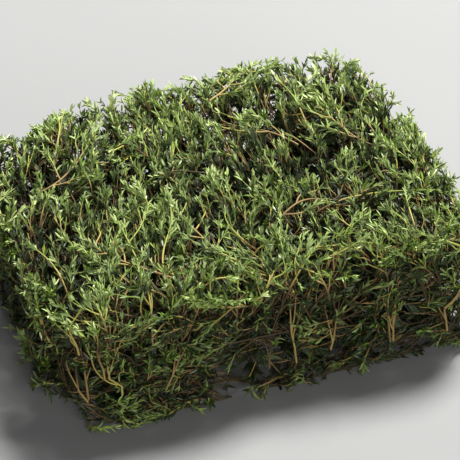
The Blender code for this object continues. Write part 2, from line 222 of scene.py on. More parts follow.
print("the rows start at", [round(row_start(row), 2) for row in range(ROWS)])

# %% [markdown]
# A sprig is a main stem with side shoots. Most sprigs fan out within one lane of a leaning row. The first rows
# hold sprigs that lie across the heap, with their side shoots turned up to the crown.

# %% Sprigs that fan out, and sprigs that lie across
FAN_BARE, FAN_REACH, FAN_CURVE, FAN_TIPS, FAN_LOOSE = 0.42, (0.94, 1.02), 1.4, (0.86, 1.03), 0.002
FORK_LOW, FORK_HIGHER, FORK_VARIES, FORK_CURVE = 0.06, 0.42, (-0.03, 0.04), 2.8
WIGGLE, WIGGLE_TURNS, SIDE_BARE, INNER_BARER = (0.0006, 0.0016), 9, 0.16, 0.10
CROSS_BARE, CROSS_LOW, CROSS_HIGH, CROSS_UP_FROM, CROSS_UP_OVER = 0.35, 0.10, 0.90, 0.72, 0.28
CROSS_TIPS, CROSS_DRIFT, CROSS_SIDE_BARE, CROSS_SWING = (0.90, 1.03), (0.07, 0.13), 0.10, (0.03, 7)
SIDE_OFF = {"fan": (0.0012, 0.0026), "cross": (0.0010, 0.0024), "layer": (0.0008, 0.0022)}


def shoot(points, bare, stem=False):
    """A shoot: its line, the share of it that carries no leaves, and whether it is the sprig's main stem."""
    return {"line": np.array(points), "bare": bare, "stem": stem}


def eased(share, power=2):
    """A share that runs ahead and then settles, as a side shoot bends away from its stem and then follows it."""
    return 1 - (1 - share) ** power


def beside(random, kind):
    """How far a side shoot lies off its layer, to one side or the other."""
    return random.choice((-1, 1)) * random.uniform(*SIDE_OFF[kind])


def fan(random, row, left, right, root):
    """A main stem that rises from its root, and side shoots that fan out to fill its lane."""
    start = row_start(row)
    targets = np.linspace(left, right, SHOOTS_PER_FAN)
    targets[1:-1] += random.uniform(-FAN_LOOSE, FAN_LOOSE, SHOOTS_PER_FAN - 2)
    middle = SHOOTS_PER_FAN // 2 - random.randint(0, 2)
    reach = random.uniform(*FAN_REACH)

    def across(share, goal):
        return root + (goal - root) * share**FAN_CURVE

    line = [on_row(row, across(share, targets[middle]), start + (reach - start) * share) for share in STEPS]
    if start < LOW_START:
        line = [line[0] - np.array([0, FOOT, 0]), *line[: SAMPLES - 1]]
        line[0][2] = line[1][2] = STEM_REST
    shoots = [shoot(line, FAN_BARE, True)]
    for place, goal in enumerate(targets):
        if place == middle:
            continue
        outward = abs(place - middle) / max(middle, SHOOTS_PER_FAN - 1 - middle)
        leaves_at = FORK_LOW + FORK_HIGHER * (1 - outward) + random.uniform(*FORK_VARIES)
        tip = random.uniform(*FAN_TIPS)
        off = beside(random, "fan")
        wiggle, phase = random.uniform(*WIGGLE), random.uniform(0, 6.3)
        first = across(leaves_at, targets[middle])
        height_0 = start + (reach - start) * leaves_at
        points = []
        for share in STEPS:
            x = first + (goal - first) * eased(share, FORK_CURVE)
            x += wiggle * np.sin(WIGGLE_TURNS * share + phase) * share
            points.append(on_row(row, x, height_0 + (tip - height_0) * share, off * min(1.0, 3 * share)))
        shoots.append(shoot(points, SIDE_BARE + INNER_BARER * (1 - outward)))
    return shoots


def cross(random, row, left, right, flipped):
    """A main stem that lies along a row near the front, with side shoots that rise to the crown."""
    start = row_start(row)
    low = start + CROSS_LOW * (1 - start)
    ends = (right, left) if flipped else (left, right)

    def stem_at(share):
        rise = low + (CROSS_HIGH - low) * np.clip((share - CROSS_UP_FROM) / CROSS_UP_OVER, 0, 1) ** 1.6
        return ends[0] + (ends[1] - ends[0]) * share, rise + CROSS_SWING[0] * np.sin(CROSS_SWING[1] * share)

    shoots = [shoot([on_row(row, *stem_at(share)) for share in STEPS], CROSS_BARE, True)]
    for place in range(CROSS_SHOOTS):
        at = max(0.05, 0.08 + 0.74 * (place + random.uniform(-0.15, 0.15)) / (CROSS_SHOOTS - 1))
        x_0, height_0 = stem_at(at)
        drift = (ends[1] - ends[0]) * random.uniform(*CROSS_DRIFT)
        tip = random.uniform(*CROSS_TIPS)
        off = beside(random, "cross")
        shoots.append(shoot([
            on_row(row, x_0 + drift * eased(share), height_0 + (tip - height_0) * share, off * min(1, 3 * share))
            for share in STEPS], CROSS_SIDE_BARE))
    return shoots


print("a row is", ROWS, "sheets deep and", LANES, "lanes wide")

# %% [markdown]
# Where the heap meets a wall, its sprigs are pressed flat against it. They make the layers along the front and
# the back. The last few sprigs lie loose on the crown.

# %% Sprigs along the faces, and loose ones on the crown
FRONT_ROWS, FRONT_Y, FRONT_FIRST_Z, FRONT_STEP_Z = 4, -0.1120, 0.0080, 0.0170
BACK_ROWS, BACK_Y, BACK_STEP_Z, WALL_TAPER = 3, 0.1060, 0.0230, 0.040
LAYER_BARE, LAYER_STEP_Y, LAYER_SLOPE, LAYER_BOW, LAYER_SHOOTS = 0.30, 0.0068, 0.0070, 0.0022, 7
LAYER_RISES, LAYER_RUNS, LOWEST_RISES = (0.0065, 0.0100), (0.022, 0.034), (0.008, 0.013)
LOWEST_LIFT, LOWEST_LIFT_FROM, FORK_BARE = 0.006, 0.45, 0.12
LOOSE_BARE, LOOSE_SHOOTS, LOOSE_ASIDE, LOOSE_REACH = 0.28, 5, 0.011, (0.22, 0.34)
LOOSE_SPRIGS = (
    (-0.062, -0.096, -0.100, -0.028, 0.006, 0.0010),
    (-0.030, -0.088, -0.044, -0.014, -0.004, 0.0015),
    (0.004, -0.062, 0.096, -0.044, 0.007, 0.0010),
    (-0.112, 0.026, -0.060, 0.066, -0.006, 0.0010),
    (-0.004, -0.004, -0.046, 0.054, 0.006, 0.0010),
    (0.058, 0.010, 0.006, 0.070, -0.006, 0.0012),
    (0.112, -0.010, 0.078, 0.066, 0.005, 0.0010),
    (0.020, 0.076, 0.060, 0.112, -0.004, 0.0100),
)


def lying(random, level, face, step, left, right, flipped):
    """A main stem that lies along the front or the back face, with short side shoots in the same layer."""
    out = np.sign(face)
    height = FRONT_FIRST_Z + step * level
    layer = face * (1 - WALL_TAPER * (1 - height / CROWN_HEIGHT)) - out * LAYER_STEP_Y * (level % 2)
    slope, bow = random.uniform(-LAYER_SLOPE, LAYER_SLOPE), random.uniform(-LAYER_BOW, LAYER_BOW)
    if level == 0:
        height, slope, bow = STEM_REST, 0.0, 0.0
    ends = (right, left) if flipped else (left, right)

    def stem_at(share):
        x = ends[0] + (ends[1] - ends[0]) * share
        z = height + slope * (2 * share - 1) + bow * np.sin(np.pi * share)
        if level == 0:
            z += LOWEST_LIFT * np.clip((share - LOWEST_LIFT_FROM) / (1 - LOWEST_LIFT_FROM), 0, 1) ** 1.5
        inward = max(0.0, abs(x) - (WIDTH / 2 - CORNER))
        return np.array([x, layer - out * (CORNER - np.sqrt(CORNER**2 - min(inward, CORNER * 0.98) ** 2)), z])

    shoots = [shoot([stem_at(share) for share in STEPS], LAYER_BARE, True)]
    for place in range(LAYER_SHOOTS):
        start = max(0.06, 0.08 + 0.76 * (place + random.uniform(-0.2, 0.2)) / (LAYER_SHOOTS - 1))
        rise = (1, -1)[place % 2] * random.uniform(*LAYER_RISES)
        if level == 0:
            rise = random.uniform(*LOWEST_RISES)
        run = np.sign(ends[1] - ends[0]) * random.uniform(*LAYER_RUNS)
        off = beside(random, "layer")
        shoots.append(shoot([
            stem_at(np.clip(start + run / (ends[1] - ends[0]) * share, 0, 1))
            + np.array([0, off * share, rise * eased(share)])
            for share in STEPS], FORK_BARE))
    return shoots


def loose(random, x_0, y_0, x_1, y_1, bow, lift):
    """A loose sprig on the crown, which follows it from the cut end to the tip."""
    run = np.array([x_1 - x_0, y_1 - y_0])
    length = np.hypot(*run)
    side = np.array([-run[1], run[0]]) / length

    def flat_at(share):
        return np.array([x_0, y_0]) + run * share + side * bow * np.sin(np.pi * share)

    def stem_at(share):
        x, y = flat_at(share)
        return np.array([x, y, crown(x, y) + lift + 0.004 * (share - 0.5) ** 2 - 0.002 * (1 - share)])

    shoots = [shoot([stem_at(share) for share in STEPS], LOOSE_BARE, True)]
    for place in range(LOOSE_SHOOTS):
        at = 0.16 + 0.56 * place / (LOOSE_SHOOTS - 1) + random.uniform(-0.03, 0.03)
        hand = (-1, 1)[place % 2]
        reach = length * random.uniform(*LOOSE_REACH)
        base = stem_at(at)
        points = []
        for share in STEPS:
            flat = flat_at(at) + run / length * reach * share + hand * side * LOOSE_ASIDE * eased(share)
            z = crown(*flat) + lift + 0.0012 * hand * share
            points.append(np.array([*flat, base[2] + (z - base[2]) * min(1, 2 * share)]))
        shoots.append(shoot(points, FORK_BARE))
    return shoots


print("loose sprigs:", len(LOOSE_SPRIGS))

# %% [markdown]
# All sprigs are laid out here in the model's own order, from the same random numbers. Each face and each low row
# holds two sprigs, left and right, and each higher row three. A check then says how far any cut end has strayed.

# %% Lay out every sprig of the heap
FACE_INSET, ROW_INSET, MIDDLE_GAP, FACE_MIDDLE, CROSS_MIDDLE = 0.020, 0.004, 0.006, 0.024, 0.02
LANE_LOOSE, ROOT_PLACES = 0.008, (0.22, 0.78)


def halves(limit, middle):
    """The left and the right half of a layer, with a gap between them."""
    return enumerate(((-limit, middle - MIDDLE_GAP), (middle + MIDDLE_GAP, limit)))


def sprigs():
    """Every sprig of the heap by name, as its shoots with the main stem first."""
    random = np.random.RandomState(SEED)
    laid = {f"crown_sprig_{number + 1:02d}": loose(random, *spot) for number, spot in enumerate(LOOSE_SPRIGS)}
    limit = WIDTH / 2 - FACE_INSET
    layers = [("front", FRONT_Y, FRONT_STEP_Z, level) for level in range(FRONT_ROWS)]
    layers += [("back", BACK_Y, BACK_STEP_Z, level) for level in range(BACK_ROWS)]
    for place, face, step, level in layers:
        middle = random.uniform(-FACE_MIDDLE, FACE_MIDDLE)
        for part, (left, right) in halves(limit, middle):
            name = f"{place}_sprig_{level + 1}_{('left', 'right')[part]}"
            laid[name] = lying(random, level, face, step, left, right, (level + part) % 2 == 0)
    for row in range(ROWS):
        lean, foot = lean_of(row)
        limit = side_limit(in_depth(foot + lean + ROW_INSET)) - ROW_INSET
        if row < CROSS_ROWS:
            middle = random.uniform(-CROSS_MIDDLE, CROSS_MIDDLE)
            for part, (left, right) in halves(limit, middle):
                name = f"cross_sprig_{row + 1}_{('left', 'right')[part]}"
                laid[name] = cross(random, row, left, right, (row + part) % 2 == 0)
            continue
        walls = np.linspace(-limit, limit, LANES + 1)
        walls[1:-1] += LANE_SHIFT * (-1) ** row + random.uniform(-LANE_LOOSE, LANE_LOOSE, LANES - 1)
        for lane in range(LANES):
            left, right = walls[lane] + LANE_GAP * (lane > 0), walls[lane + 1] - LANE_GAP * (lane < LANES - 1)
            root = left + (right - left) * random.uniform(*ROOT_PLACES)
            name = f"row_{row - CROSS_ROWS + 1:02d}_{('left', 'middle', 'right')[lane]}_sprig"
            laid[name] = fan(random, row, left, right, root)
    return {name: shoots for name, shoots in laid.items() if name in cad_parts}


heap = sprigs()
off = 0.0
for name, shoots in heap.items():
    low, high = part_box(name)
    start = shoots[0]["line"][0] - HEAP_MIDDLE
    off = max(off, *(max(low[k] - start[k], start[k] - high[k]) for k in range(3)))
print(len(heap), "sprigs laid; a cut end lies at most", round(off * 1000, 2), "mm outside its solid's box")

# %% [markdown]
# ## The small sprigs between
# A real heap holds several times as many sprigs as the model has solids. The rest are short and soft, and they
# fill the hollows between. On top they lie back like thatch, each cut end sunk in the heap and each tip lifted.

# %% Small sprigs on the crown
THATCH_ACROSS, THATCH_ALONG, THATCH_SHORT, THATCH_LONG = 11, 8, 0.040, 0.066
THATCH_DIP, THATCH_RISE, THATCH_TURN, THATCH_SHOOTS, THATCH_SAMPLES = 0.040, 0.010, 9, 5, 11
THATCH_X, THATCH_Y, THATCH_LOOSE, THATCH_LIMITS = (-0.130, 0.130), (-0.118, 0.074), 0.012, (-0.135, 0.128)
CLUMP, SIDE_APART, SPRIG_BOW, PLUME_BARE, PLUME_SIDE_BARE = 0.0065, (0.004, 0.011), 0.006, 0.36, (0.10, 0.40)
HEADING_PLACES = (-0.13, -0.08, -0.03, 0.03, 0.09, 0.13)
BACK_HEADINGS, FRONT_HEADINGS = (-36, -26, -8, 14, 8, -4), (-24, -18, -16, -6, 4, 0)
HEADING_TURNS_AT, HEADING_FADE = -0.03, 0.05


def shares(count):
    """Even steps from 0 to 1 as a column, to work out all points of a line at once."""
    return np.linspace(0, 1, count)[:, None]


def thatch_heading(x, y):
    """Which way the thatch runs, in degrees from straight back towards the left."""
    near = np.clip((HEADING_TURNS_AT - y) / HEADING_FADE, 0, 1)
    back, front = (np.interp(x, HEADING_PLACES, headings) for headings in (BACK_HEADINGS, FRONT_HEADINGS))
    return (1 - near) * back + near * front


def clump(x, y):
    """How far the plumes stand above or below the crown here: they bunch, and leave hollows between."""
    return (CLUMP * math.sin(118 * x + 31 * y + 1.0) * math.sin(74 * y - 52 * x + 0.4)
            + 0.5 * CLUMP * math.sin(203 * x - 90 * y + 2.0))


def plume(random, start, run, lift, rise):
    """A small sprig that leans back out of the heap: its side shoots run nearly along its stem."""
    share = shares(THATCH_SAMPLES)
    side, bow = np.array([-run[1], run[0]]) / np.hypot(*run), random.uniform(-SPRIG_BOW, SPRIG_BOW)

    def at(along, aside):
        flat = start + run * along + side * (bow * np.sin(math.pi * along) + aside)
        top = np.array([[crown(*spot)] for spot in flat])
        return np.concatenate((flat, top + lift + rise * along**2 - THATCH_DIP * (1 - np.minimum(along, 1)) ** 1.5), 1)

    shoots = [shoot(at(share, 0 * share), PLUME_BARE, True)]
    for place in range(THATCH_SHOOTS):
        first = 0.10 + 0.52 * place / THATCH_SHOOTS + random.uniform(-0.04, 0.04)
        reach = random.uniform(0.30, 0.46)
        aside = (1, -1)[place % 2] * random.uniform(*SIDE_APART)
        line = at(first + reach * share, aside * eased(share, 1.6))
        line[:, 2:] += random.uniform(-0.004, 0.004) * share
        shoots.append(shoot(line, random.uniform(*PLUME_SIDE_BARE)))
    return shoots


def thatch(random):
    """Small sprigs all over the crown."""
    made = []
    for x in np.linspace(*THATCH_X, THATCH_ACROSS):
        for y in np.linspace(*THATCH_Y, THATCH_ALONG):
            start = np.array([x, y]) + random.uniform(-THATCH_LOOSE, THATCH_LOOSE, 2)
            angle = math.radians(random.normal(thatch_heading(*start), THATCH_TURN))
            run = random.uniform(THATCH_SHORT, THATCH_LONG) * np.array([-math.sin(angle), math.cos(angle)])
            start[1] = min(start[1], DEPTH / 2 - 0.002 - run[1])
            start[0] = np.clip(start[0], THATCH_LIMITS[0] - min(run[0], 0), THATCH_LIMITS[1] - max(run[0], 0))
            lift = random.uniform(-0.006, 0.001) + clump(*(start + run))
            made.append(plume(random, start, run, lift, random.uniform(0, THATCH_RISE)))
    return made


small = np.random.RandomState(SEED + 7)
crown_fill = thatch(small)
print(len(crown_fill), "small sprigs on the crown")

# %% [markdown]
# Along the front, sprigs stand up out of the heap and lean back over it. Their stems show below and fork as they
# rise, and the leaves start half way up.

# %% Sprigs that rise along the front
RISERS, RISER_X, RISER_BACK, RISER_RUN = 28, (-0.130, 0.126), (0.016, 0.052), 0.045
RISER_HEIGHTS, RISER_TURN, RISER_TURN_MOST = (0.020, 0.064), (10, 24), 50
RISER_BARE, RISER_SIDE_BARE = (0.20, 0.50), (0.10, 0.35)


def riser(random, x):
    """A sprig that rises at the front face and leans back over the crown, with its side shoots beside it."""
    tip_y = -DEPTH / 2 + random.uniform(*RISER_BACK)
    heading = np.clip(thatch_heading(x, tip_y) + random.normal(*RISER_TURN), -RISER_TURN_MOST, RISER_TURN_MOST)
    tip_x = x - math.tan(math.radians(heading)) * RISER_RUN
    base = np.array([x + random.normal(0, 0.012), -DEPTH / 2 + random.uniform(0.001, 0.009),
                     random.uniform(*RISER_HEIGHTS)])
    tip = np.array([tip_x, tip_y, crown(tip_x, tip_y) + random.uniform(0.001, 0.009)])

    def at(along):
        return base + (tip - base) * np.concatenate((along**1.2, along**1.9, 1 - np.maximum(1 - along, 0) ** 1.7), 1)

    share = shares(THATCH_SAMPLES)
    shoots = [shoot(at(share), random.uniform(*RISER_BARE), True)]
    for place in range(THATCH_SHOOTS - 1):
        first = 0.12 + 0.48 * place / (THATCH_SHOOTS - 1) + random.uniform(-0.04, 0.04)
        reach, aside = random.uniform(0.28, 0.42), (1, -1)[place % 2] * random.uniform(*SIDE_APART)
        line = at(first + reach * share)
        line += np.array([aside, random.uniform(-0.003, 0.004), 0]) * eased(share, 1.5)
        shoots.append(shoot(line, random.uniform(*RISER_SIDE_BARE)))
    return shoots


crown_fill += [riser(small, x + small.uniform(-0.004, 0.004)) for x in np.linspace(*RISER_X, RISERS)]
print(RISERS, "sprigs rise along the front")

# %% [markdown]
# A few long stems catch the eye on the crown, nearly bare up to a tuft at the tip. They lie across the thatch.

# %% Long bare stems on the crown
BARE_STEMS = (
    (-0.065, -0.101, -0.048, -0.040), (-0.066, -0.107, -0.078, -0.035), (-0.039, 0.057, -0.064, 0.038),
    (-0.007, 0.018, 0.002, 0.085), (0.046, -0.050, 0.118, -0.060), (-0.057, -0.102, -0.028, -0.104),
    (0.076, 0.030, 0.070, 0.078), (0.030, -0.050, 0.031, -0.010), (0.001, -0.079, -0.012, -0.050),
    (0.005, -0.103, -0.028, -0.088), (0.062, -0.105, 0.046, -0.070), (0.092, -0.107, 0.077, -0.080),
    (0.091, -0.108, 0.100, -0.058), (0.123, -0.040, 0.134, 0.017), (-0.092, 0.052, -0.074, 0.094),
    (-0.122, -0.098, -0.132, -0.040), (-0.100, -0.060, -0.058, -0.030), (0.020, -0.090, 0.052, -0.098),
    (0.100, 0.070, 0.112, 0.108), (0.124, 0.045, 0.132, 0.086),
)
TALL_TIPS = (
    (0.038, 0.078, 0.070, 0.111, 0.030), (0.052, 0.060, 0.058, 0.106, 0.014), (-0.018, 0.070, -0.008, 0.108, 0.022),
    (-0.044, 0.062, -0.040, 0.100, 0.014), (0.010, 0.066, 0.022, 0.104, 0.010), (-0.082, 0.050, -0.074, 0.098, 0.012),
    (0.098, 0.064, 0.116, 0.106, 0.016), (0.112, 0.030, 0.145, 0.054, 0.018), (0.116, 0.000, 0.146, 0.022, 0.012),
    (0.118, -0.040, 0.144, -0.014, 0.010), (0.116, -0.080, 0.141, -0.056, 0.010), (-0.122, 0.000, -0.140, 0.038, 0.006),
)
BARE_LIFT, BARE_RISE, BARE_SHOOTS, BARE_SHARE, BARE_RAISED, TALL_LIFT = 0.004, (0.004, 0.010), 4, 0.70, 0.7, 0.002


def bare_stem(random, x_0, y_0, x_1, y_1):
    """A long stem on the crown with a few side shoots near its tip."""
    start, run = np.array([x_0, y_0]), np.array([x_1 - x_0, y_1 - y_0])
    shoots = plume(random, start, run, BARE_LIFT, random.uniform(*BARE_RISE))[:BARE_SHOOTS]
    shoots[0]["bare"], stem = BARE_SHARE, shoots[0]["line"]
    stem[:, 2] += BARE_RAISED * THATCH_DIP * np.linspace(1, 0, THATCH_SAMPLES) ** 1.5
    fade = (1 - np.linspace(0, 1, THATCH_SAMPLES)) ** 2
    for side in (one["line"] for one in shoots[1:]):
        joint = np.argmin(np.linalg.norm(stem[:, :2] - side[0, :2], axis=1))
        side[:, 2] += (stem[joint, 2] - side[0, 2]) * fade
    return shoots


crown_fill += [bare_stem(small, *spot) for spot in BARE_STEMS]
crown_fill += [plume(small, np.array([x_0, y_0]), np.array([x_1, y_1]) - np.array([x_0, y_0]), TALL_LIFT, rise)
               for x_0, y_0, x_1, y_1, rise in TALL_TIPS]
print(len(BARE_STEMS), "long bare stems and", len(TALL_TIPS), "tall tips")

# %% [markdown]
# Round the sides, small sprigs lie pressed against the wall of whatever holds the heap, at all angles. A place on
# the wall is given by how far round the heap it is and how high.

# %% Small sprigs round the sides
WALL_EVERY, WALL_HEIGHTS, WALL_SHORT, WALL_LONG = 0.025, (0.002, 0.003, 0.008, 0.026, 0.044, 0.060), 0.034, 0.064
BED_LEVELS, BED_IN, BED_LEANS, BED_TURN = 2, 0.030, (0, 180), 6
WALL_IN, WALL_LEANS, WALL_TURN, WALL_FORKS = 0.010, (25, 155, 85), 20, (0.16, 0.34, 0.50, 0.66)
WALL_BARE, WALL_SIDE_BARE = 0.34, 0.10
OUTLINE_POINTS, WALL_FROM_MIDDLE, WALL_LOWEST = 400, 0.12, 0.002

outline = []
for turn in np.linspace(0, FULL_TURN, OUTLINE_POINTS, endpoint=False):
    outward = np.array([math.cos(turn), math.sin(turn)])
    outline.append(np.copysign((WIDTH / 2 - CORNER, DEPTH / 2 - CORNER), outward) + CORNER * outward)
outline = np.array(outline + outline[:1])
round_length = np.concatenate(([0], np.cumsum(np.linalg.norm(np.diff(outline, axis=0), axis=1))))


def wall_at(way, height, inward=0.0):
    """The point of the heap's side that lies so far round it and so high, or a little inside it."""
    flat = np.array([np.interp(way % round_length[-1], round_length, outline[:, k]) for k in (0, 1)])
    flat *= (1 - WALL_TAPER * (1 - height / CROWN_HEIGHT)) * (1 - inward / WALL_FROM_MIDDLE)
    return np.array([*flat, height])


def walled(random):
    """Small sprigs on the heap's sides, in four groups: right, back, left and front."""
    groups = {"right": [], "back": [], "left": [], "front": []}
    steps = np.linspace(0, 1, THATCH_SAMPLES)
    for level, base in enumerate(WALL_HEIGHTS):
        for way in np.arange(0, round_length[-1] - WALL_EVERY / 2, WALL_EVERY):
            start = way + random.uniform(-0.5, 0.5) * WALL_EVERY
            bed = level < BED_LEVELS
            low = base + random.uniform(0 if bed else -0.006, 0.008)
            leans, turned_by = (BED_LEANS, BED_TURN) if bed else (WALL_LEANS, WALL_TURN)
            angle = math.radians(random.normal(random.choice(leans), turned_by))
            run = random.uniform(WALL_SHORT, WALL_LONG) * np.array([math.cos(angle), math.sin(angle)])
            run[1] = min(run[1], CROWN_HEIGHT - 0.008 - low)
            bow, sink = random.uniform(-SPRIG_BOW, SPRIG_BOW), random.uniform(-0.001, BED_IN if bed else WALL_IN)

            def stem_at(share, aside=0.0):
                height = low + run[1] * share + bow * math.sin(math.pi * share) + aside
                return wall_at(start + run[0] * share, max(WALL_LOWEST, height), sink + 0.010 * (1 - share) ** 2)

            shoots = [shoot([stem_at(share) for share in steps], WALL_BARE, True)]
            for place, at in enumerate(WALL_FORKS):
                reach = random.uniform(0.20, 0.36)
                aside = (1, -1)[place % 2] * random.uniform(0.006, 0.011)
                line = [stem_at(min(1.0, at + reach * share), aside * eased(share)) for share in steps]
                shoots.append(shoot(line, WALL_SIDE_BARE))
            x, y, _ = stem_at(0.5)
            side = ("back" if y > 0 else "front") if abs(y) / DEPTH > abs(x) / WIDTH else ("right" if x > 0 else "left")
            groups[side].append(shoots)
    return groups


wall_fill = walled(small)
print({side: len(found) for side, found in wall_fill.items()}, "small sprigs round the sides")

# %% [markdown]
# ## Growing the shoots
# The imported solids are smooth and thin. A real shoot bends a little everywhere, and carries short leafy twigs all
# along. Each shoot's line is moved by a gentle random field, the same one for a whole sprig, so that side shoots
# stay joined to their stem. Each tip then wanders off a little further, a side shoot's more than a main stem's.

# %% Bend the shoots a little
FIELD_SIZE, FIELD_WAVE, WANDER = 0.0012, 0.055, 0.0050
SIDE_ROOM, SIDE_SOFT, TOP_ROOM, TOP_SOFT, LOWEST = 0.002, 0.008, 0.012, 0.015, 0.0006


def settling(random):
    """A smooth random movement of space, for one sprig."""
    waves = random.normal(0, math.pi / FIELD_WAVE, (3, 3))
    phases, pushes = random.uniform(0, FULL_TURN, 3), random.normal(0, FIELD_SIZE, (3, 3))
    return lambda points: points + np.sin(points @ waves.T + phases) @ pushes


def wandering(random, line, reach):
    """The line with its tip led astray, and its base where it was."""
    share = shares(len(line))
    push, curl = random.normal(0, reach, (2, 3))
    return line + push * share**2 + 0.5 * curl * np.sin(math.pi * 2 * share) * share


def soft_limit(value, limit, soft):
    """The value itself well below its limit, and ever closer to the limit above it."""
    start = limit - soft
    return value if value < start else start + soft * (1 - math.exp(-(value - start) / soft))


def tucked(line):
    """The line kept within a little of the heap's outline, as the sprigs' neighbours would hold it."""
    made = np.array(line)
    for point in made:
        point[1] = math.copysign(soft_limit(abs(point[1]), DEPTH / 2 + SIDE_ROOM, SIDE_SOFT), point[1])
        wall = side_limit(in_depth(point[1])) + SIDE_ROOM
        point[0] = math.copysign(soft_limit(abs(point[0]), wall, SIDE_SOFT), point[0])
        point[2] = max(LOWEST, soft_limit(point[2], crown(point[0], point[1]) + TOP_ROOM, TOP_SOFT))
    return made


def unit(vector):
    return vector / max(np.linalg.norm(vector), 1e-9)


print("fields of", FIELD_WAVE * 1000, "mm waves, tips wander", WANDER * 1000, "mm")

# %% [markdown]
# Twigs leave a shoot at a sharp angle and curve forward, as everything on a thyme sprig does. Deep in the heap
# nobody sees them, so leaves thin out there. That keeps the mesh small.

# %% Twigs, and how deep a point lies
TWIG_EVERY, TWIG_LENGTHS, TWIG_LEANS, TWIG_SAMPLES = 0.0140, (0.005, 0.012), (0.25, 0.55), 4
LEAF_SHELL = 0.018


def depth_below(points):
    """How far inside the heap's outside each point lies; points outside give less than nothing."""
    found = []
    for x, y, z in points:
        side = min(side_limit(in_depth(y)) - abs(x), DEPTH / 2 - abs(y))
        top = crown(x, y) if side > 0 else CROWN_HEIGHT
        found.append(min(side, top - z))
    return np.array(found)


def twig(random, base, forward):
    """A short twig's line, out from the shoot and curving forward."""
    length = random.uniform(*TWIG_LENGTHS)
    side = unit(np.cross(forward, random.normal(0, 1, 3)))
    lean = random.uniform(*TWIG_LEANS)
    out = forward * math.cos(lean) + side * math.sin(lean)
    share = shares(TWIG_SAMPLES)
    bend = forward * 0.70 + np.array([0, 0, 0.20]) + random.normal(0, 0.12, 3)
    return base + length * (out * share + bend * share**2 * 0.55)


print("a twig every", TWIG_EVERY * 1000, "mm")

# %% [markdown]
# The heart of the heap is packed tight and gets no light. Short shoots lie there at all angles; their leaves are
# plain and broad, as nobody sees more of them than that no light comes through. The upright corners are thin, so
# they get some short shoots of their own, with the leaves of the sides.

# %% Packed shoots in the heart of the heap
PACKED_LENGTHS, PACKED_FLAT, PACKED_SAMPLES, PACKED_LOWEST = (0.010, 0.030), (1, 1, 0.4), 5, 0.004
HEART_SHOOTS, HEART_LOW, HEART_HIGH, HEART_IN = 760, (-0.134, -0.108, 0.008), (0.134, 0.108, 0.090), 0.007
CORNER_SHOOTS, CORNER_IN, CORNER_OUT, CORNER_REACH, CORNER_HEIGHTS = 56, 0.004, (0.136, 0.110), 0.036, (0.010, 0.080)


def packed(random, count, low, high, inside):
    """Short shoots between the places low and high, away from the heap's outside."""
    made = []
    while len(made) < count:
        middle = random.uniform(low, high)
        run = random.normal(0, 1, 3) * PACKED_FLAT
        share = np.linspace(-0.5, 0.5, PACKED_SAMPLES)[:, None]
        line = middle + random.uniform(*PACKED_LENGTHS) * unit(run) * share
        if depth_below(line).min() > inside and line[:, 2].min() > PACKED_LOWEST:
            made.append([shoot(line, 0.0)])
    return made


heart_fill = packed(small, HEART_SHOOTS, HEART_LOW, HEART_HIGH, HEART_IN)
corner_fill = []
for hands in ((1, -1), (1, 1), (-1, 1), (-1, -1)):
    out, back = np.multiply(hands, CORNER_OUT), np.multiply(hands, CORNER_OUT) - np.multiply(hands, CORNER_REACH)
    low, high = np.minimum(out, back), np.maximum(out, back)
    corner_fill += packed(small, CORNER_SHOOTS, (*low, CORNER_HEIGHTS[0]), (*high, CORNER_HEIGHTS[1]), CORNER_IN)
print(len(heart_fill), "packed shoots in the heart,", len(corner_fill), "in the corners")

# %% [markdown]
# On a tossed heap the plumes bunch, and narrow hollows run between them along the way that the thatch lies. Leaves
# are sparse there, so that the stems and the dark behind them show. A few crossed waves say where the hollows are.

# %% Hollows between the plumes
HOLLOW_WIDE, HOLLOW_LONG, HOLLOW_FROM, HOLLOW_FADE, HOLLOW_BARE = 0.021, 0.052, 0.60, 0.16, 0.66


def hollow(points):
    """How bare each point is: between the plumes run narrow hollows, along the way that the thatch lies."""
    found = []
    for x, y, _ in points:
        turn = math.radians(thatch_heading(x, y))
        across, along = x * math.cos(turn) + y * math.sin(turn), y * math.cos(turn) - x * math.sin(turn)
        bend = 2.0 * math.sin(FULL_TURN * along / HOLLOW_LONG + 40 * across)
        ridge = 0.5 + 0.30 * math.sin(FULL_TURN * across / HOLLOW_WIDE + bend)
        ridge += 0.20 * math.sin(FULL_TURN * along / (0.7 * HOLLOW_LONG) - 60 * x + 1.0)
        found.append(HOLLOW_BARE * min(1.0, max(0.0, (ridge - HOLLOW_FROM) / HOLLOW_FADE)))
    return np.array(found)


print("hollows are", HOLLOW_WIDE * 1000, "mm apart")

# %% [markdown]
# The solids keep their side shoots apart from each other. Real ones crowd, so two kinds of shoot are added: longer
# ones on the sprigs of the faces, and a second one beside each side shoot of the rows.

# %% More side shoots
FACE_SHOOTS, FACE_RUNS, FACE_RISES, FACE_BARE, COMPANION_OFF = 4, (0.012, 0.036), (0.012, 0.026), 0.10, 0.0045


def on_line(line, places, at):
    """The point of a line at a place between the places of its own points."""
    return np.array([np.interp(at, places, line[:, k]) for k in range(3)])


def face_shoots(random, stem):
    """More side shoots for a sprig that lies along a face, longer than its solid's, to close the face with leaves."""
    made, share = [], shares(SAMPLES // 2)
    for at in np.linspace(0.06, 0.88, FACE_SHOOTS) + random.uniform(-0.02, 0.02, FACE_SHOOTS):
        base = on_line(stem, np.arange(len(stem)), at * (len(stem) - 1))
        run = math.copysign(random.uniform(*FACE_RUNS), stem[-1, 0] - stem[0, 0])
        rise = random.uniform(*FACE_RISES) * random.choice((1, 1, -0.6))
        inward = -math.copysign(random.uniform(0.0, 0.010), base[1])
        line = base + np.array([run, 0, 0]) * share + np.array([0, inward, rise]) * eased(share, 1.7)
        made.append(shoot(line, FACE_BARE))
    return made


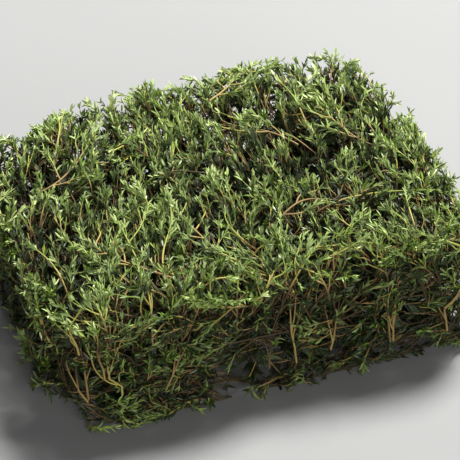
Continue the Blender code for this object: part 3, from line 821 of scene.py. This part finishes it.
def companions(random, shoots):
    """A second side shoot beside each one, heading between it and the next."""
    made, others = [], [one for one in shoots if not one["stem"]]
    leaving = shares(SAMPLES) ** 0.8
    for one, other in zip(others, others[1:] + others[-2:-1]):
        middle = (one["line"] + other["line"]) / 2
        off = random.normal(0, COMPANION_OFF, 3) + np.array([0, COMPANION_OFF * random.choice((-1, 1)), 0])
        line = one["line"] + (middle - one["line"]) * leaving + off * leaving
        made.append(shoot(line, one["bare"] + 0.05))
    return made


print("a face sprig gets", FACE_SHOOTS, "shoots more")

# %% [markdown]
# Every line is then given its values, point by point: how thick the stem is, how leafy, how large the leaves are,
# and how light leaf and bark are. Tips are fresh and leafy, and their leaves lighter; the darker leaves low on a
# shoot are partly painted shade. What lies deep gets painted shade on leaf and bark, as no light gets there, and
# leaves towards the back get painted light.

# %% The lines of a sprig and their values
# Leaves get lighter in tone towards a shoot's tip: partly the paler young growth, partly painted shade on the lower
# leaves, which lie deeper in the heap.
BARE_MORE, BARE_MOST, LEAFY_FADE, TIP_MORE, TIP_TONE = 0.12, 0.75, 0.08, 0.45, 0.28
TWIG_TONE, TWIG_BARE, TWIG_SIZE, TWIG_LAST, TWIG_SHELL = (0.03, 0.05), 0.04, 0.94, 0.96, 0.8
MAIN_THICK, SIDE_THICK, TWIG_THICK = (0.00072, 0.00040), (0.00054, 0.00030), (0.00034, 0.00020)
POINT_VALUES = ("thick", "leafy", "size", "tone", "bark", "share", "deep")
# Painted shade: leaf tone and bark get darker with depth below the heap's outside, from 4 mm outside it to full at 8 mm
# in.
DEEP_LEAFY, DEEP_PAINTED_SHADE, PAINTED_SHADE_FROM, PAINTED_SHADE_FULL, HOLLOW_DEPTH = 0.28, 0.68, -0.004, 0.008, 0.035
HEART_LEAFY, HEART_SIZE, SIZE_BASE, SIZE_FALL = 0.75, 1.6, 1.08, 0.26
# Painted light: the small sprigs round the sides and in the corners get a lighter tone than the rest, and every leaf
# gets a lighter tone the further back it lies.
USUAL_TONE, PAINTED_LIGHT_TONES, TONE_VARIES, TONE_SHIFT, PAINTED_LIGHT_TO_BACK = 0.46, {"wall": 0.66}, (0.11, 0.07), 0.12, 0.12
USUAL_BARK, OWN_BARK, BARK_RANGE = (0.30, 0.80), {"fill": (0.44, 0.92), "wall": (0.34, 0.80)}, (0.02, 0.98)


def guide_lines(random, name, shoots):
    """Every line of a sprig, with the values of its points. A small sprig goes by its kind: fill, wall or heart."""
    move = settling(random)
    # For the sprigs round the sides and in the corners this tone is raised, a painted light on the heap's shaded sides.
    own_tone = random.normal(PAINTED_LIGHT_TONES.get(name, USUAL_TONE), TONE_VARIES[0])
    own_bark = random.uniform(*OWN_BARK.get(name, USUAL_BARK))
    lines = []

    def add(line, thick, bare, tone, bark, size):
        line = tucked(line)
        share = np.linspace(0, 1, len(line))
        depth = depth_below(line)
        full = np.clip((share - bare) / LEAFY_FADE, 0, 1)
        seen = np.clip(1.15 - depth / LEAF_SHELL, DEEP_LEAFY, 1) if name != "heart" else HEART_LEAFY
        deep = np.clip(depth / LEAF_SHELL, 0, 1)
        # painted shade: how much darker leaf tone and bark are made at each point, by its depth
        painted_shade = DEEP_PAINTED_SHADE * np.clip((depth - PAINTED_SHADE_FROM) / (PAINTED_SHADE_FULL - PAINTED_SHADE_FROM), 0, 1)
        full = full * (1 - TIP_MORE * (1 - share) ** 0.7)
        if name not in ("heart", "wall"):
            full = full * (1 - hollow(line) * (line[:, 2] > CROWN_HEIGHT - HOLLOW_DEPTH))
        values = (thick[0] + (thick[1] - thick[0]) * share, full * seen, size * (SIZE_BASE - SIZE_FALL * share**2),
                  tone + TIP_TONE * share**1.5 - TONE_SHIFT - painted_shade + PAINTED_LIGHT_TO_BACK * line[:, 1] / (DEPTH / 2),
                  np.clip(bark[0] + (bark[1] - bark[0]) * share - painted_shade, *BARK_RANGE), share, deep)
        lines.append((line, np.array(values).T))

    if name.startswith(("front", "back")):
        shoots = shoots + face_shoots(random, shoots[0]["line"])
    if name.startswith(("row", "cross")):
        shoots = shoots + companions(random, shoots)
    for grown in shoots:
        main = grown["stem"]
        line = wandering(random, move(grown["line"]), WANDER * (0.3 if main else 1.0))
        tone = own_tone + random.normal(0, TONE_VARIES[1])
        bark = (own_bark * 0.8, own_bark * 0.8 + 0.3) if main else (own_bark, min(0.95, own_bark + 0.35))
        size = random.uniform(0.90, 1.10) * (HEART_SIZE if name == "heart" else 1)
        bare = min(BARE_MOST, grown["bare"] + random.exponential(BARE_MORE))
        add(line, MAIN_THICK if main else SIDE_THICK, bare, tone, bark, size)
        steps = np.linalg.norm(np.diff(line, axis=0), axis=1)
        along, length = np.concatenate(([0], np.cumsum(steps))), steps.sum()
        start = bare * length + random.uniform(0, TWIG_EVERY)
        for spot in np.arange(start, TWIG_LAST * length, TWIG_EVERY):
            spot = spot + random.uniform(-0.3, 0.3) * TWIG_EVERY
            base, ahead = on_line(line, along, spot), on_line(line, along, spot + 0.002)
            grows = twig(random, base, unit(ahead - base + 1e-9))
            if depth_below([base])[0] < LEAF_SHELL * TWIG_SHELL:
                add(grows, TWIG_THICK, TWIG_BARE, tone + random.normal(*TWIG_TONE),
                    (bark[1], min(0.97, bark[1] + 0.2)), size * TWIG_SIZE)
    return lines


print("values at each point:", ", ".join(POINT_VALUES))

# %% [markdown]
# The lines of one sprig make its guide: a mesh of edges only, with the values as attributes that Geometry Nodes can
# read. The small sprigs are gathered into a few larger guides by where they lie, each well below 200,000 triangles.

# %% Make the guides
CROWN_PARTS = (("left", -1.0, -0.070), ("near_left", -0.070, -0.012), ("near_right", -0.012, 0.050),
               ("right", 0.050, 1.0))


def guide_object(name, lines):
    """The guide as a mesh of edges, with the values as point attributes."""
    points = np.concatenate([line for line, values in lines]) - HEAP_MIDDLE
    edges, first = [], 0
    for line, values in lines:
        edges += [(first + k, first + k + 1) for k in range(len(line) - 1)]
        first += len(line)
    mesh = bpy.data.meshes.new(name + "_guide")
    mesh.from_pydata(points.tolist(), edges, [])
    columns = np.concatenate([values for line, values in lines]).T
    for value_name, column in zip(POINT_VALUES, columns):
        mesh.attributes.new(value_name, "FLOAT", "POINT").data.foreach_set("value", column.astype(np.float32))
    return placed(name + "_guide", mesh)


growth = np.random.RandomState(SEED + 1)
guides = {name: guide_lines(growth, name, shoots) for name, shoots in heap.items()}
fills = {"crown_fill_" + part: [shoots for shoots in crown_fill if low <= shoots[0]["line"][0, 0] < high]
         for part, low, high in CROWN_PARTS}
fills.update(heart_fill=heart_fill, **{side + "_fill": found for side, found in wall_fill.items()})
fills["corner_fill"] = corner_fill
for name, found in fills.items():
    kind = "heart" if name == "heart_fill" else "fill" if name.startswith("crown") else "wall"
    guides[name] = [line for shoots in found for line in guide_lines(growth, kind, shoots)]
total = sum(np.linalg.norm(np.diff(line, axis=0), axis=1).sum() for lines in guides.values() for line, _ in lines)
print(sum(len(lines) for lines in guides.values()), "shoots and twigs,", round(float(total), 1), "m in all")

# %% [markdown]
# ## The leaf
# A thyme leaf is a narrow oval, 6 to 8 mm long and up to 2 mm wide, creased along its midrib. Its edges curl
# towards the paler underside. One leaf is modelled here at a length of 1, closed all round, with few faces,
# because it is repeated tens of thousands of times. A few kinds differ in width, in crease and in bend.
# The leaf's place on the colour map is in its UV map. Its upper side takes one strip and its underside another,
# so each leaf shows a dark and a pale face.

# %% Model the leaf kinds
LEAF_THICK, UNDER_MORE = 0.035, 0.012
FULL_OUTLINE, HIDDEN_OUTLINE = ((0.28, 0.88), (0.68, 0.90)), ((0.46, 1.0),)
UPPER_STRIP, UNDER_STRIP, STEM_STRIP = (0.02, 0.38), (0.42, 0.78), (0.82, 0.98)


def leaf(name, width, crease, bend, full=True):
    """A closed creased leaf along +Z, its upper side towards -X, with its strip and its width in a UV map."""
    stations = FULL_OUTLINE if full else HIDDEN_OUTLINE
    points = [(0, 0, 0), (0, 0, 1.0), (-LEAF_THICK / 2, 0, 0.5), (LEAF_THICK / 2 + UNDER_MORE, 0, 0.5)]
    for hand in (1, -1):
        points += [(-crease * width, hand * wide * width / 2, z) for z, wide in stations]
    faces = []
    for hand in (0, 1):
        outline = [0, *range(4 + hand * len(stations), 4 + (hand + 1) * len(stations)), 1]
        for under in (0, 1):
            for one, other in zip(outline, outline[1:]):
                faces.append((one, 2 + under, other) if hand == under else (other, 2 + under, one))
    mesh = bpy.data.meshes.new(name)
    mesh.from_pydata([(x + bend * z**2, y, z) for x, y, z in points], [], faces)
    layer = mesh.uv_layers.new(name="OFBake")
    for face in mesh.polygons:
        low, high = UNDER_STRIP if 3 in face.vertices else UPPER_STRIP
        for loop in face.loop_indices:
            point = mesh.vertices[mesh.loops[loop].vertex_index].co
            layer.data[loop].uv = (low + (high - low) * point.z, 2 * point.y / width)
    return bpy.data.objects.new(name, mesh)


LEAF_KINDS = [("leaf_1_open", 0.24, -0.12, 0.08, True), ("leaf_2_narrow", 0.19, 0.25, 0.14, True),
              ("leaf_3_broad", 0.28, -0.20, -0.04, True), ("leaf_4_folded", 0.21, 0.50, 0.18, True),
              ("leaf_5_hidden", 0.32, -0.12, 0.05, False)]
leaf_box = bpy.data.collections.new("leaf_kinds")
for kind in LEAF_KINDS:
    made = leaf(*kind)
    leaf_box.objects.link(made)
    volume = sum(f.area * f.center.dot(f.normal) for f in made.data.polygons) / 3
    print(kind[0], "has", len(made.data.polygons), "faces and a volume of", round(volume, 5))

# %% [markdown]
# ## The foliage tree
# Everything on a sprig follows a line, so Geometry Nodes grow it. Each line of the guide becomes a tube for the
# stem. The same line gives a leaf node every few millimetres. A node carries an opposite pair of leaves, each
# pair a quarter turn round from the last, and a tuft of small leaves in the angle of the pair.

# %% Build the tree that grows stems and leaves
LEVELS, ACROSS_SHARE = 40, 0.42


def chance(seed, low=0.0, high=1.0):
    """A random number for each point or leaf."""
    return node(seed.tree, "FunctionNodeRandomValue", {"data_type": "FLOAT"},
                {"Min": low, "Max": high, "Seed": seed})[0]


def stored(shape, name, value, kind="FLOAT", domain="POINT", where=True):
    """The shape with a value kept on it as an attribute."""
    return node(shape.tree, "GeometryNodeStoreNamedAttribute", {"data_type": kind, "domain": domain},
                {"Geometry": shape, "Selection": where, "Name": name, "Value": value})[0]


def turned(rotation, axis, angle):
    """A rotation turned further about one of its own axes."""
    step = node(rotation.tree, "FunctionNodeAxisAngleToRotation", {}, {"Axis": axis, "Angle": angle})[0]
    return node(rotation.tree, "FunctionNodeRotateRotation", {"rotation_space": "LOCAL"},
                {"Rotation": rotation, "Rotate By": step})[0]


def joined(*shapes):
    made = shapes[0].tree.nodes.new("GeometryNodeJoinGeometry")
    for shape in reversed(shapes):
        shape.tree.links.new(shape.socket, made.inputs[0])
    return Wire(shapes[0].tree, made.outputs[0])


def combined(x, y, z=0.0):
    return node(x.tree, "ShaderNodeCombineXYZ", {}, {"X": x, "Y": y, "Z": z})[0]


def parts_of(vector):
    return node(vector.tree, "ShaderNodeSeparateXYZ", {}, {"Vector": vector})


INPUTS = (("Leaf Spacing", "NodeSocketFloat", 0.0029), ("Leaf Length", "NodeSocketFloat", 0.0070),
          ("Pair Spread", "NodeSocketFloat", 0.62), ("Tip Spread", "NodeSocketFloat", 0.38),
          ("Tuft Leaves", "NodeSocketFloat", 6.4), ("Seed", "NodeSocketInt", 0),
          ("Leaf Kinds", "NodeSocketCollection", None), ("Leaf Finish", "NodeSocketMaterial", None),
          ("Stem Finish", "NodeSocketMaterial", None))
foliage = bpy.data.node_groups.new("thyme_foliage", "GeometryNodeTree")
foliage.interface.new_socket("Guide", in_out="INPUT", socket_type="NodeSocketGeometry")
for title, kind, value in INPUTS:
    socket = foliage.interface.new_socket(title, in_out="INPUT", socket_type=kind)
    if value is not None:
        socket.default_value = value
foliage.interface.new_socket("Sprig", in_out="OUTPUT", socket_type="NodeSocketGeometry")
given = {wire.socket.name: wire for wire in node(foliage, "NodeGroupInput")}


def kept_value(name, kind="FLOAT"):
    """A value that the guide, or an earlier step of the tree, has kept as an attribute."""
    return node(foliage, "GeometryNodeInputNamedAttribute", {"data_type": kind}, {"Name": name})[0]


curve = node(foliage, "GeometryNodeMeshToCurve", {}, {"Mesh": given["Guide"]})[0]
print("inputs of the tree:", ", ".join(given))

# %% [markdown]
# The stem's tube takes its thickness from the guide. Its place on the colour map is made of how far round the
# stem a point is and how woody the bark is, made darker by painted shade deep in the heap. Going round, the map
# runs there and back again, so no seam shows.

# %% Stems in the tree
STEM_SIDES, STEM_SWAY, BARK_FROM, BARK_SPAN = 5, 0.012, 0.03, 0.94

ring = node(foliage, "GeometryNodeCurvePrimitiveCircle", {"mode": "RADIUS"},
            {"Resolution": STEM_SIDES, "Radius": 1.0})[0]
round_share = node(foliage, "GeometryNodeSplineParameter")[0]
ring = stored(ring, "round", round_share)
stems = node(foliage, "GeometryNodeCurveToMesh", {},
             {"Curve": curve, "Profile Curve": ring, "Scale": kept_value("thick"), "Fill Caps": True})[0]
around = kept_value("round")
there_and_back = (around * 2 - 1).size()
sway = around.sum_of("SINE", around * FULL_TURN)
stem_u = STEM_STRIP[0] + there_and_back * (STEM_STRIP[1] - STEM_STRIP[0])
stem_v = BARK_FROM + (kept_value("bark") + sway * STEM_SWAY) * BARK_SPAN
stems = stored(stems, "OFBake", combined(stem_u, stem_v), "FLOAT2", "CORNER")
stems = node(foliage, "GeometryNodeSetShadeSmooth", {}, {"Geometry": stems, "Shade Smooth": True})[0]
print("stems have", STEM_SIDES, "sides")

# %% [markdown]
# Leaves stand out widely low on a shoot and close up towards its tip. Every leaf gets its own size, turn and tone.

# %% Leaves in the tree
AZIMUTH_VARIES, TUFT_AZIMUTH, TUFT_CLOSER, SPREAD_VARIES, TWIST_VARIES = 0.35, 1.1, 0.45, 0.22, 0.6
HIDDEN_FROM, HIDDEN_LARGER, TUFT_TONE, TONE_SCATTER = 0.90, 0.35, 0.08, 0.20
PAIR, SEEN_KINDS, SIZE_VARIES, TUFT_SMALLER = 2, len(LEAF_KINDS) - 1, (0.78, 1.14), (0.15, 0.50)

spots, _, _, facing = node(foliage, "GeometryNodeCurveToPoints", {"mode": "LENGTH"},
                           {"Curve": curve, "Length": given["Leaf Spacing"]})
spots = stored(spots, "pair", node(foliage, "GeometryNodeInputIndex")[0])
seed = given["Seed"]
spots = node(foliage, "GeometryNodeDeleteGeometry", {"domain": "POINT"},
             {"Geometry": spots, "Selection": chance(seed + 1).above(kept_value("leafy"))})[0]
amount = PAIR + (chance(seed + 2) * given["Tuft Leaves"]).whole()
spots, number = node(foliage, "GeometryNodeDuplicateElements", {"domain": "POINT"},
                     {"Geometry": spots, "Amount": amount})
tuft = number.above(PAIR - 0.5)
share = kept_value("share")
azimuth = (kept_value("pair") * (FULL_TURN / 4) + number * (FULL_TURN / 2)
           + chance(seed + 3, -AZIMUTH_VARIES, AZIMUTH_VARIES)
           + tuft * chance(seed + 4, -TUFT_AZIMUTH, TUFT_AZIMUTH))
open_angle = given["Pair Spread"] + (given["Tip Spread"] - given["Pair Spread"]) * share**2
spread = open_angle * (1 - tuft * TUFT_CLOSER) + chance(seed + 5, -SPREAD_VARIES, SPREAD_VARIES)
rotation = turned(facing, (0, 0, 1), azimuth)
rotation = turned(rotation, (0, 1, 0), spread)
rotation = turned(rotation, (0, 0, 1), chance(seed + 6, -TWIST_VARIES, TWIST_VARIES))
hidden = kept_value("deep").above(HIDDEN_FROM)
large = (kept_value("size") * given["Leaf Length"] * chance(seed + 7, *SIZE_VARIES)
         * (1 - tuft * chance(seed + 8, *TUFT_SMALLER)) * (1 + HIDDEN_LARGER * hidden))
pick = hidden * SEEN_KINDS + (1 - hidden) * (chance(seed + 9) * (SEEN_KINDS - 0.001)).whole()
kinds = node(foliage, "GeometryNodeCollectionInfo", {"transform_space": "ORIGINAL"},
             {"Collection": given["Leaf Kinds"], "Separate Children": True, "Reset Children": True})[0]
leaves = node(foliage, "GeometryNodeInstanceOnPoints", {},
              {"Points": spots, "Instance": kinds, "Pick Instance": True, "Instance Index": pick,
               "Rotation": rotation, "Scale": combined(large, large, large)})[0]
tone = (kept_value("tone") + tuft * TUFT_TONE + chance(seed + 10, -TONE_SCATTER, TONE_SCATTER)).held(0.01, 0.99)
leaves = stored(leaves, "leaf_tone", tone, "FLOAT", "INSTANCE")
print("each node of a shoot carries 2 to 8 leaves")

# %% [markdown]
# Stems and leaves are joined and made real. A leaf's map keeps its place along the leaf, and its tone chooses one
# of forty rows. What would hang through the surface under the heap is bent up to lie on it.

# %% The end of the tree
FLOOR_GAP, FLOOR_SOFT = 0.0003, 0.0015

sprig = node(foliage, "GeometryNodeRealizeInstances", {}, {"Geometry": joined(stems, leaves)})[0]
leaf_tone = kept_value("leaf_tone")
is_leaf = leaf_tone.above(0.001)
leaf_uv = parts_of(kept_value("OFBake", "FLOAT_VECTOR"))
row = ((leaf_tone * LEVELS).whole() + 0.5 + leaf_uv[1] * ACROSS_SHARE) / LEVELS
sprig = stored(sprig, "OFBake", combined(leaf_uv[0], row), "FLOAT2", "CORNER", is_leaf)
place = parts_of(node(foliage, "GeometryNodeInputPosition")[0])
floor_level = FLOOR_GAP + FLOOR_SOFT
below = floor_level - place[2]
pressed = combined(place[0], place[1], FLOOR_GAP + FLOOR_SOFT * below.sum_of("EXPONENT", -below / FLOOR_SOFT))
sprig = node(foliage, "GeometryNodeSetPosition", {},
             {"Geometry": sprig, "Selection": below.above(0.0), "Position": pressed})[0]
sprig = node(foliage, "GeometryNodeSetMaterial", {}, {"Geometry": sprig, "Material": given["Stem Finish"]})[0]
sprig = node(foliage, "GeometryNodeSetMaterial", {},
             {"Geometry": sprig, "Selection": is_leaf, "Material": given["Leaf Finish"]})[0]
node(foliage, "NodeGroupOutput", {}, {"Sprig": sprig})
print(len(foliage.nodes), "nodes in the foliage tree")

# %% [markdown]
# ## Finishes
# The two finishes read nothing but the colour map that the tree has laid out, so that they follow each leaf and
# stem however it lies. Colours are mixed from the ones a painter would write down: eight-bit red, green and blue.

# %% Mixing colours
def paint(red, green, blue):
    """A screen colour as the linear numbers that a shader takes."""
    def linear(part):
        part = part / 255
        return part / 12.92 if part <= 0.04045 else ((part + 0.055) / 1.055) ** 2.4
    return (linear(red), linear(green), linear(blue), 1.0)


def ramp(factor, stops):
    """A colour ramp from a list of places and colours."""
    made = factor.tree.nodes.new("ShaderNodeValToRGB")
    spare = made.color_ramp.elements
    while len(spare) < len(stops):
        spare.new(0.5)
    for element, (place, colour) in zip(spare, stops):
        element.position, element.color = place, paint(*colour)
    factor.tree.links.new(factor.socket, made.inputs[0])
    return Wire(factor.tree, made.outputs[0])


def mixed(factor, first, second):
    return node(factor.tree, "ShaderNodeMix", {"data_type": "RGBA"}, {"Factor": factor, "A": first, "B": second})[0]


def noise(u, v, detail):
    """A soft noise over the colour map; the faster a direction runs, the finer it gets that way."""
    return node(u.tree, "ShaderNodeTexNoise", {}, {"Vector": combined(u, v), "Scale": 1.0, "Detail": detail})[0]


def finish(name, **constants):
    """A new material, its tree, and its Principled shader with these values on its own sockets."""
    made = bpy.data.materials.new(name)
    made.use_nodes = True
    shader = made.node_tree.nodes["Principled BSDF"]
    for socket, value in constants.items():
        shader.inputs[socket.replace("_", " ")].default_value = value
    return made, made.node_tree, shader


def feeds(wire, shader, name):
    wire.tree.links.new(wire.socket, shader.inputs[name])


def bumped(height, strength, depth=0.0003):
    """A normal that follows the height, whose full range stands for this depth in metres."""
    return node(height.tree, "ShaderNodeBump", {}, {"Strength": strength, "Distance": depth, "Height": height})[0]


print("a mid leaf green is", [round(part, 3) for part in paint(96, 118, 58)])

# %% [markdown]
# The leaf: dark olive to light yellow green by its tone, with a greyer row here and there. The darkest tones are
# mostly painted shade on leaves deep in the heap. The underside is felted and paler. The midrib is a light line,
# clearest below, and the base fades to the stem's yellow. These marks fade out on the dark tones. The skin is a
# little pitted, with the rib sunk above and proud below.

# %% The leaf finish
# The darkest stops serve mostly the painted shade on leaves deep in the heap.
LEAF_STOPS = [(0.0, (18, 32, 2)), (0.3, (48, 74, 5)), (0.55, (84, 114, 18)), (0.78, (130, 154, 58)),
              (1.0, (196, 206, 156))]
UNDER_COLOUR, RIB_COLOUR, BASE_COLOUR = paint(148, 164, 106), paint(174, 186, 116), paint(134, 150, 56)
GREY_COLOUR, GREY_FROM, GREY_MOST = paint(100, 126, 74), 0.55, 0.45
LEAF_FINE, MOTTLE_MOST, YOUNG_OR_UNSHADED_FROM, UNDER_MOST = (60, 190), 0.22, 0.45, 0.46
RIB_WIDE, RIB_UPPER, RIB_UNDER_MORE, RIB_HEIGHT, PIT_HEIGHT = 0.22, 0.25, 0.35, 0.8, 0.6
EDGE_FROM, EDGE_MOST, BASE_LONG, BASE_MOST = 0.75, 0.22, 0.22, 0.55
LEAF_ROUGH, UNDER_ROUGHER, MOTTLE_ROUGHER, LEAF_BUMP = 0.38, 0.20, 0.14, 0.35

leaf_finish, tree, shader = finish("thyme_leaf", Specular_IOR_Level=0.42)
map_u, map_v, _ = parts_of(node(tree, "ShaderNodeUVMap", {"uv_map": "OFBake"})[0])
level = (map_v * LEVELS).whole()
across = (((map_v * LEVELS) % 1.0) - 0.5) / ACROSS_SHARE
under = map_u.above((UPPER_STRIP[1] + UNDER_STRIP[0]) / 2)
along = (map_u - UPPER_STRIP[0] - under * (UNDER_STRIP[0] - UPPER_STRIP[0])) / (UPPER_STRIP[1] - UPPER_STRIP[0])
own = node(tree, "ShaderNodeTexWhiteNoise", {"noise_dimensions": "1D"}, {"W": level})[0]
mottle = noise(map_u * LEAF_FINE[0], map_v * LEAF_FINE[1], 3.0)
# The pale marks fade out on dark tones, which come from older leaves and from the painted shade, so that shaded leaves
# stay dark.
young_or_unshaded = (level / (LEVELS * YOUNG_OR_UNSHADED_FROM)).held(0.05, 1.0)
rib = (1 - across.size() / RIB_WIDE).held() * (RIB_UPPER + under * RIB_UNDER_MORE)
edge = ((across.size() - EDGE_FROM) / (1 - EDGE_FROM)).held() * EDGE_MOST

colour = ramp(level / LEVELS + (mottle - 0.5) * MOTTLE_MOST, LEAF_STOPS)
colour = mixed(own.above(GREY_FROM) * own * young_or_unshaded * GREY_MOST, colour, GREY_COLOUR)
colour = mixed(under * young_or_unshaded * UNDER_MOST, colour, UNDER_COLOUR)
colour = mixed(rib * young_or_unshaded, colour, RIB_COLOUR)
colour = mixed(edge * young_or_unshaded, colour, UNDER_COLOUR)
colour = mixed((1 - along / BASE_LONG).held() * young_or_unshaded * BASE_MOST, colour, BASE_COLOUR)
feeds(colour, shader, "Base Color")
feeds(LEAF_ROUGH + under * UNDER_ROUGHER + mottle * MOTTLE_ROUGHER, shader, "Roughness")
feeds(bumped(mottle * PIT_HEIGHT + rib * (under * (2 * RIB_HEIGHT) - RIB_HEIGHT), LEAF_BUMP), shader, "Normal")
print("leaf tones:", LEVELS)

# %% [markdown]
# The stem: red-brown where it is woody, tan and then yellow green where it is young, with fine streaks along it.
# The near-black end is painted shade, for stems deep in the heap.

# %% The stem finish
# The first two stops, near black and dark brown, are reached mostly through the painted shade on stems deep in the
# heap.
STEM_STOPS = [(0.0, (24, 22, 8)), (0.14, (74, 60, 32)), (0.34, (138, 114, 68)), (0.58, (158, 148, 76)),
              (0.80, (130, 144, 56)), (1.0, (98, 126, 42))]
CRACK_COLOUR, CRACK_BELOW, CRACK_MOST = paint(84, 62, 38), 0.62, 1.1
STEM_FINE, STREAK_MOST, STEM_ROUGH, STREAK_ROUGHER, STEM_BUMP = (90, 60), 0.16, 0.48, 0.26, 0.45

stem_finish, tree, shader = finish("thyme_stem", Specular_IOR_Level=0.30)
map_u, map_v, _ = parts_of(node(tree, "ShaderNodeUVMap", {"uv_map": "OFBake"})[0])
streak = noise(map_u * STEM_FINE[0], map_v * STEM_FINE[1], 4.0)
colour = ramp(map_v + (streak - 0.5) * STREAK_MOST, STEM_STOPS)
colour = mixed((CRACK_BELOW - streak).held() * CRACK_MOST, colour, CRACK_COLOUR)
feeds(colour, shader, "Base Color")
feeds(STEM_ROUGH + streak * STREAK_ROUGHER, shader, "Roughness")
feeds(bumped(streak, STEM_BUMP), shader, "Normal")
print("stem colours:", len(STEM_STOPS))

# %% [markdown]
# ## Growing the heap
# The tree is put on each guide in turn. Its result is taken off as a plain mesh, which stands for that sprig's
# solid, and the guide is thrown away.

# %% Grow every sprig
SLOTS = {"crown": "crown_leaves", "front": "front_leaves", "cross": "cross_leaves", "back": "back_leaves",
         **dict.fromkeys(("row", "left", "right", "heart", "corner"), "row_leaves")}
IDENTIFIERS = {item.name: item.identifier for item in foliage.interface.items_tree if item.in_out == "INPUT"}


def grown(name, lines, seed):
    """The leafy sprig as a plain mesh object."""
    guide = guide_object(name, lines)
    modifier = guide.modifiers.new("foliage", "NODES")
    modifier.node_group = foliage
    for title, value in (("Seed", seed * 20), ("Leaf Kinds", leaf_box), ("Leaf Finish", leaf_finish),
                         ("Stem Finish", stem_finish)):
        modifier[IDENTIFIERS[title]] = value
    bpy.context.view_layer.update()
    evaluated = guide.evaluated_get(bpy.context.evaluated_depsgraph_get())
    mesh = bpy.data.meshes.new_from_object(evaluated)
    guide.modifiers.clear()
    bpy.data.objects.remove(guide)
    for spare in [a.name for a in mesh.attributes if a.name in (*POINT_VALUES, "leaf_tone", "round", "pair")]:
        mesh.attributes.remove(mesh.attributes[spare])
    for place in reversed([k for k, m in enumerate(mesh.materials) if m is None]):
        mesh.materials.pop(index=place)
    mesh.name = "leafy_" + name
    return placed("leafy_" + name, mesh)


triangles = 0
for number, (name, lines) in enumerate(guides.items()):
    piece = grown(name, lines, number)
    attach(piece, "root")
    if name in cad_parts:
        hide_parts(name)
    faces = sum(len(face.vertices) - 2 for face in piece.data.polygons)
    triangles += faces
    if number % 16 == 0 or name in fills:
        print(piece.name, faces, "triangles, finishes", [m.name for m in piece.data.materials])
print("the whole heap has", triangles, "triangles")

# %% [markdown]
# ## Floor and light
# The floor is plain and pale, and curves up into a round wall a few steps away, so no horizon shows. Soft light
# comes from a large lamp high up behind the heap. A weak one at the front lifts the shadows.

# %% Floor, lamps and surround
FLOOR_COLOUR, FLOOR_FLAT, FLOOR_CURVE, FLOOR_TOP, FLOOR_SIDES = paint(120, 121, 123), 2.3, 0.8, 3.4, 96
LAMPS = (("key", (1.3, 1.1, 2.85), 1.2, 395.0), ("fill", (-0.1, -2.3, 0.8), 1.2, 39.0))
LAMP_COLOUR, SURROUND = (1.0, 0.985, 0.93), 0.05

profile = [(FLOOR_FLAT + FLOOR_CURVE * math.sin(bend), FLOOR_CURVE * (1 - math.cos(bend)))
           for bend in np.linspace(0, math.pi / 2, 9)] + [(FLOOR_FLAT + FLOOR_CURVE, FLOOR_TOP)]
turns = np.linspace(0, FULL_TURN, FLOOR_SIDES, endpoint=False)
points = [(0, 0, 0)] + [(r * math.cos(turn), r * math.sin(turn), z) for r, z in profile for turn in turns]
faces = [(0, 1 + k, 1 + (k + 1) % FLOOR_SIDES) for k in range(FLOOR_SIDES)]
for level in range(len(profile) - 1):
    low, high = 1 + level * FLOOR_SIDES, 1 + (level + 1) * FLOOR_SIDES
    faces += [(low + (k + 1) % FLOOR_SIDES, low + k, high + k, high + (k + 1) % FLOOR_SIDES)
              for k in range(FLOOR_SIDES)]
floor_mesh = bpy.data.meshes.new("floor")
floor_mesh.from_pydata(points, [], faces)
floor_mesh.shade_smooth()
floor_mesh.materials.append(finish("pale_floor", Base_Color=FLOOR_COLOUR, Roughness=0.9)[0])
floor = placed("floor", floor_mesh)

for lamp_name, place, size, power in LAMPS:
    lamp = bpy.data.lights.new(lamp_name, "AREA")
    lamp.shape, lamp.size, lamp.energy, lamp.color = "DISK", size, power, LAMP_COLOUR
    towards = Vector(place).to_track_quat("Z", "Y").to_matrix().to_4x4()
    placed(lamp_name, lamp).matrix_world = Matrix.Translation(place) @ towards
world = bpy.data.worlds.new("surround")
world.use_nodes = True
background = world.node_tree.nodes["Background"].inputs
background["Color"].default_value, background["Strength"].default_value = (1, 1, 1, 1), SURROUND
bpy.context.scene.world = world
bpy.context.scene.view_settings.view_transform = "Standard"
bpy.context.scene.view_settings.look = "None"
print(len(LAMPS), "lamps, surround", SURROUND)

# %% [markdown]
# ## Finish
# The leaf tips may stand up to 12 mm proud of the solids at the sides, and a few millimetres on top.

# %% Finish
bpy.context.view_layer.update()
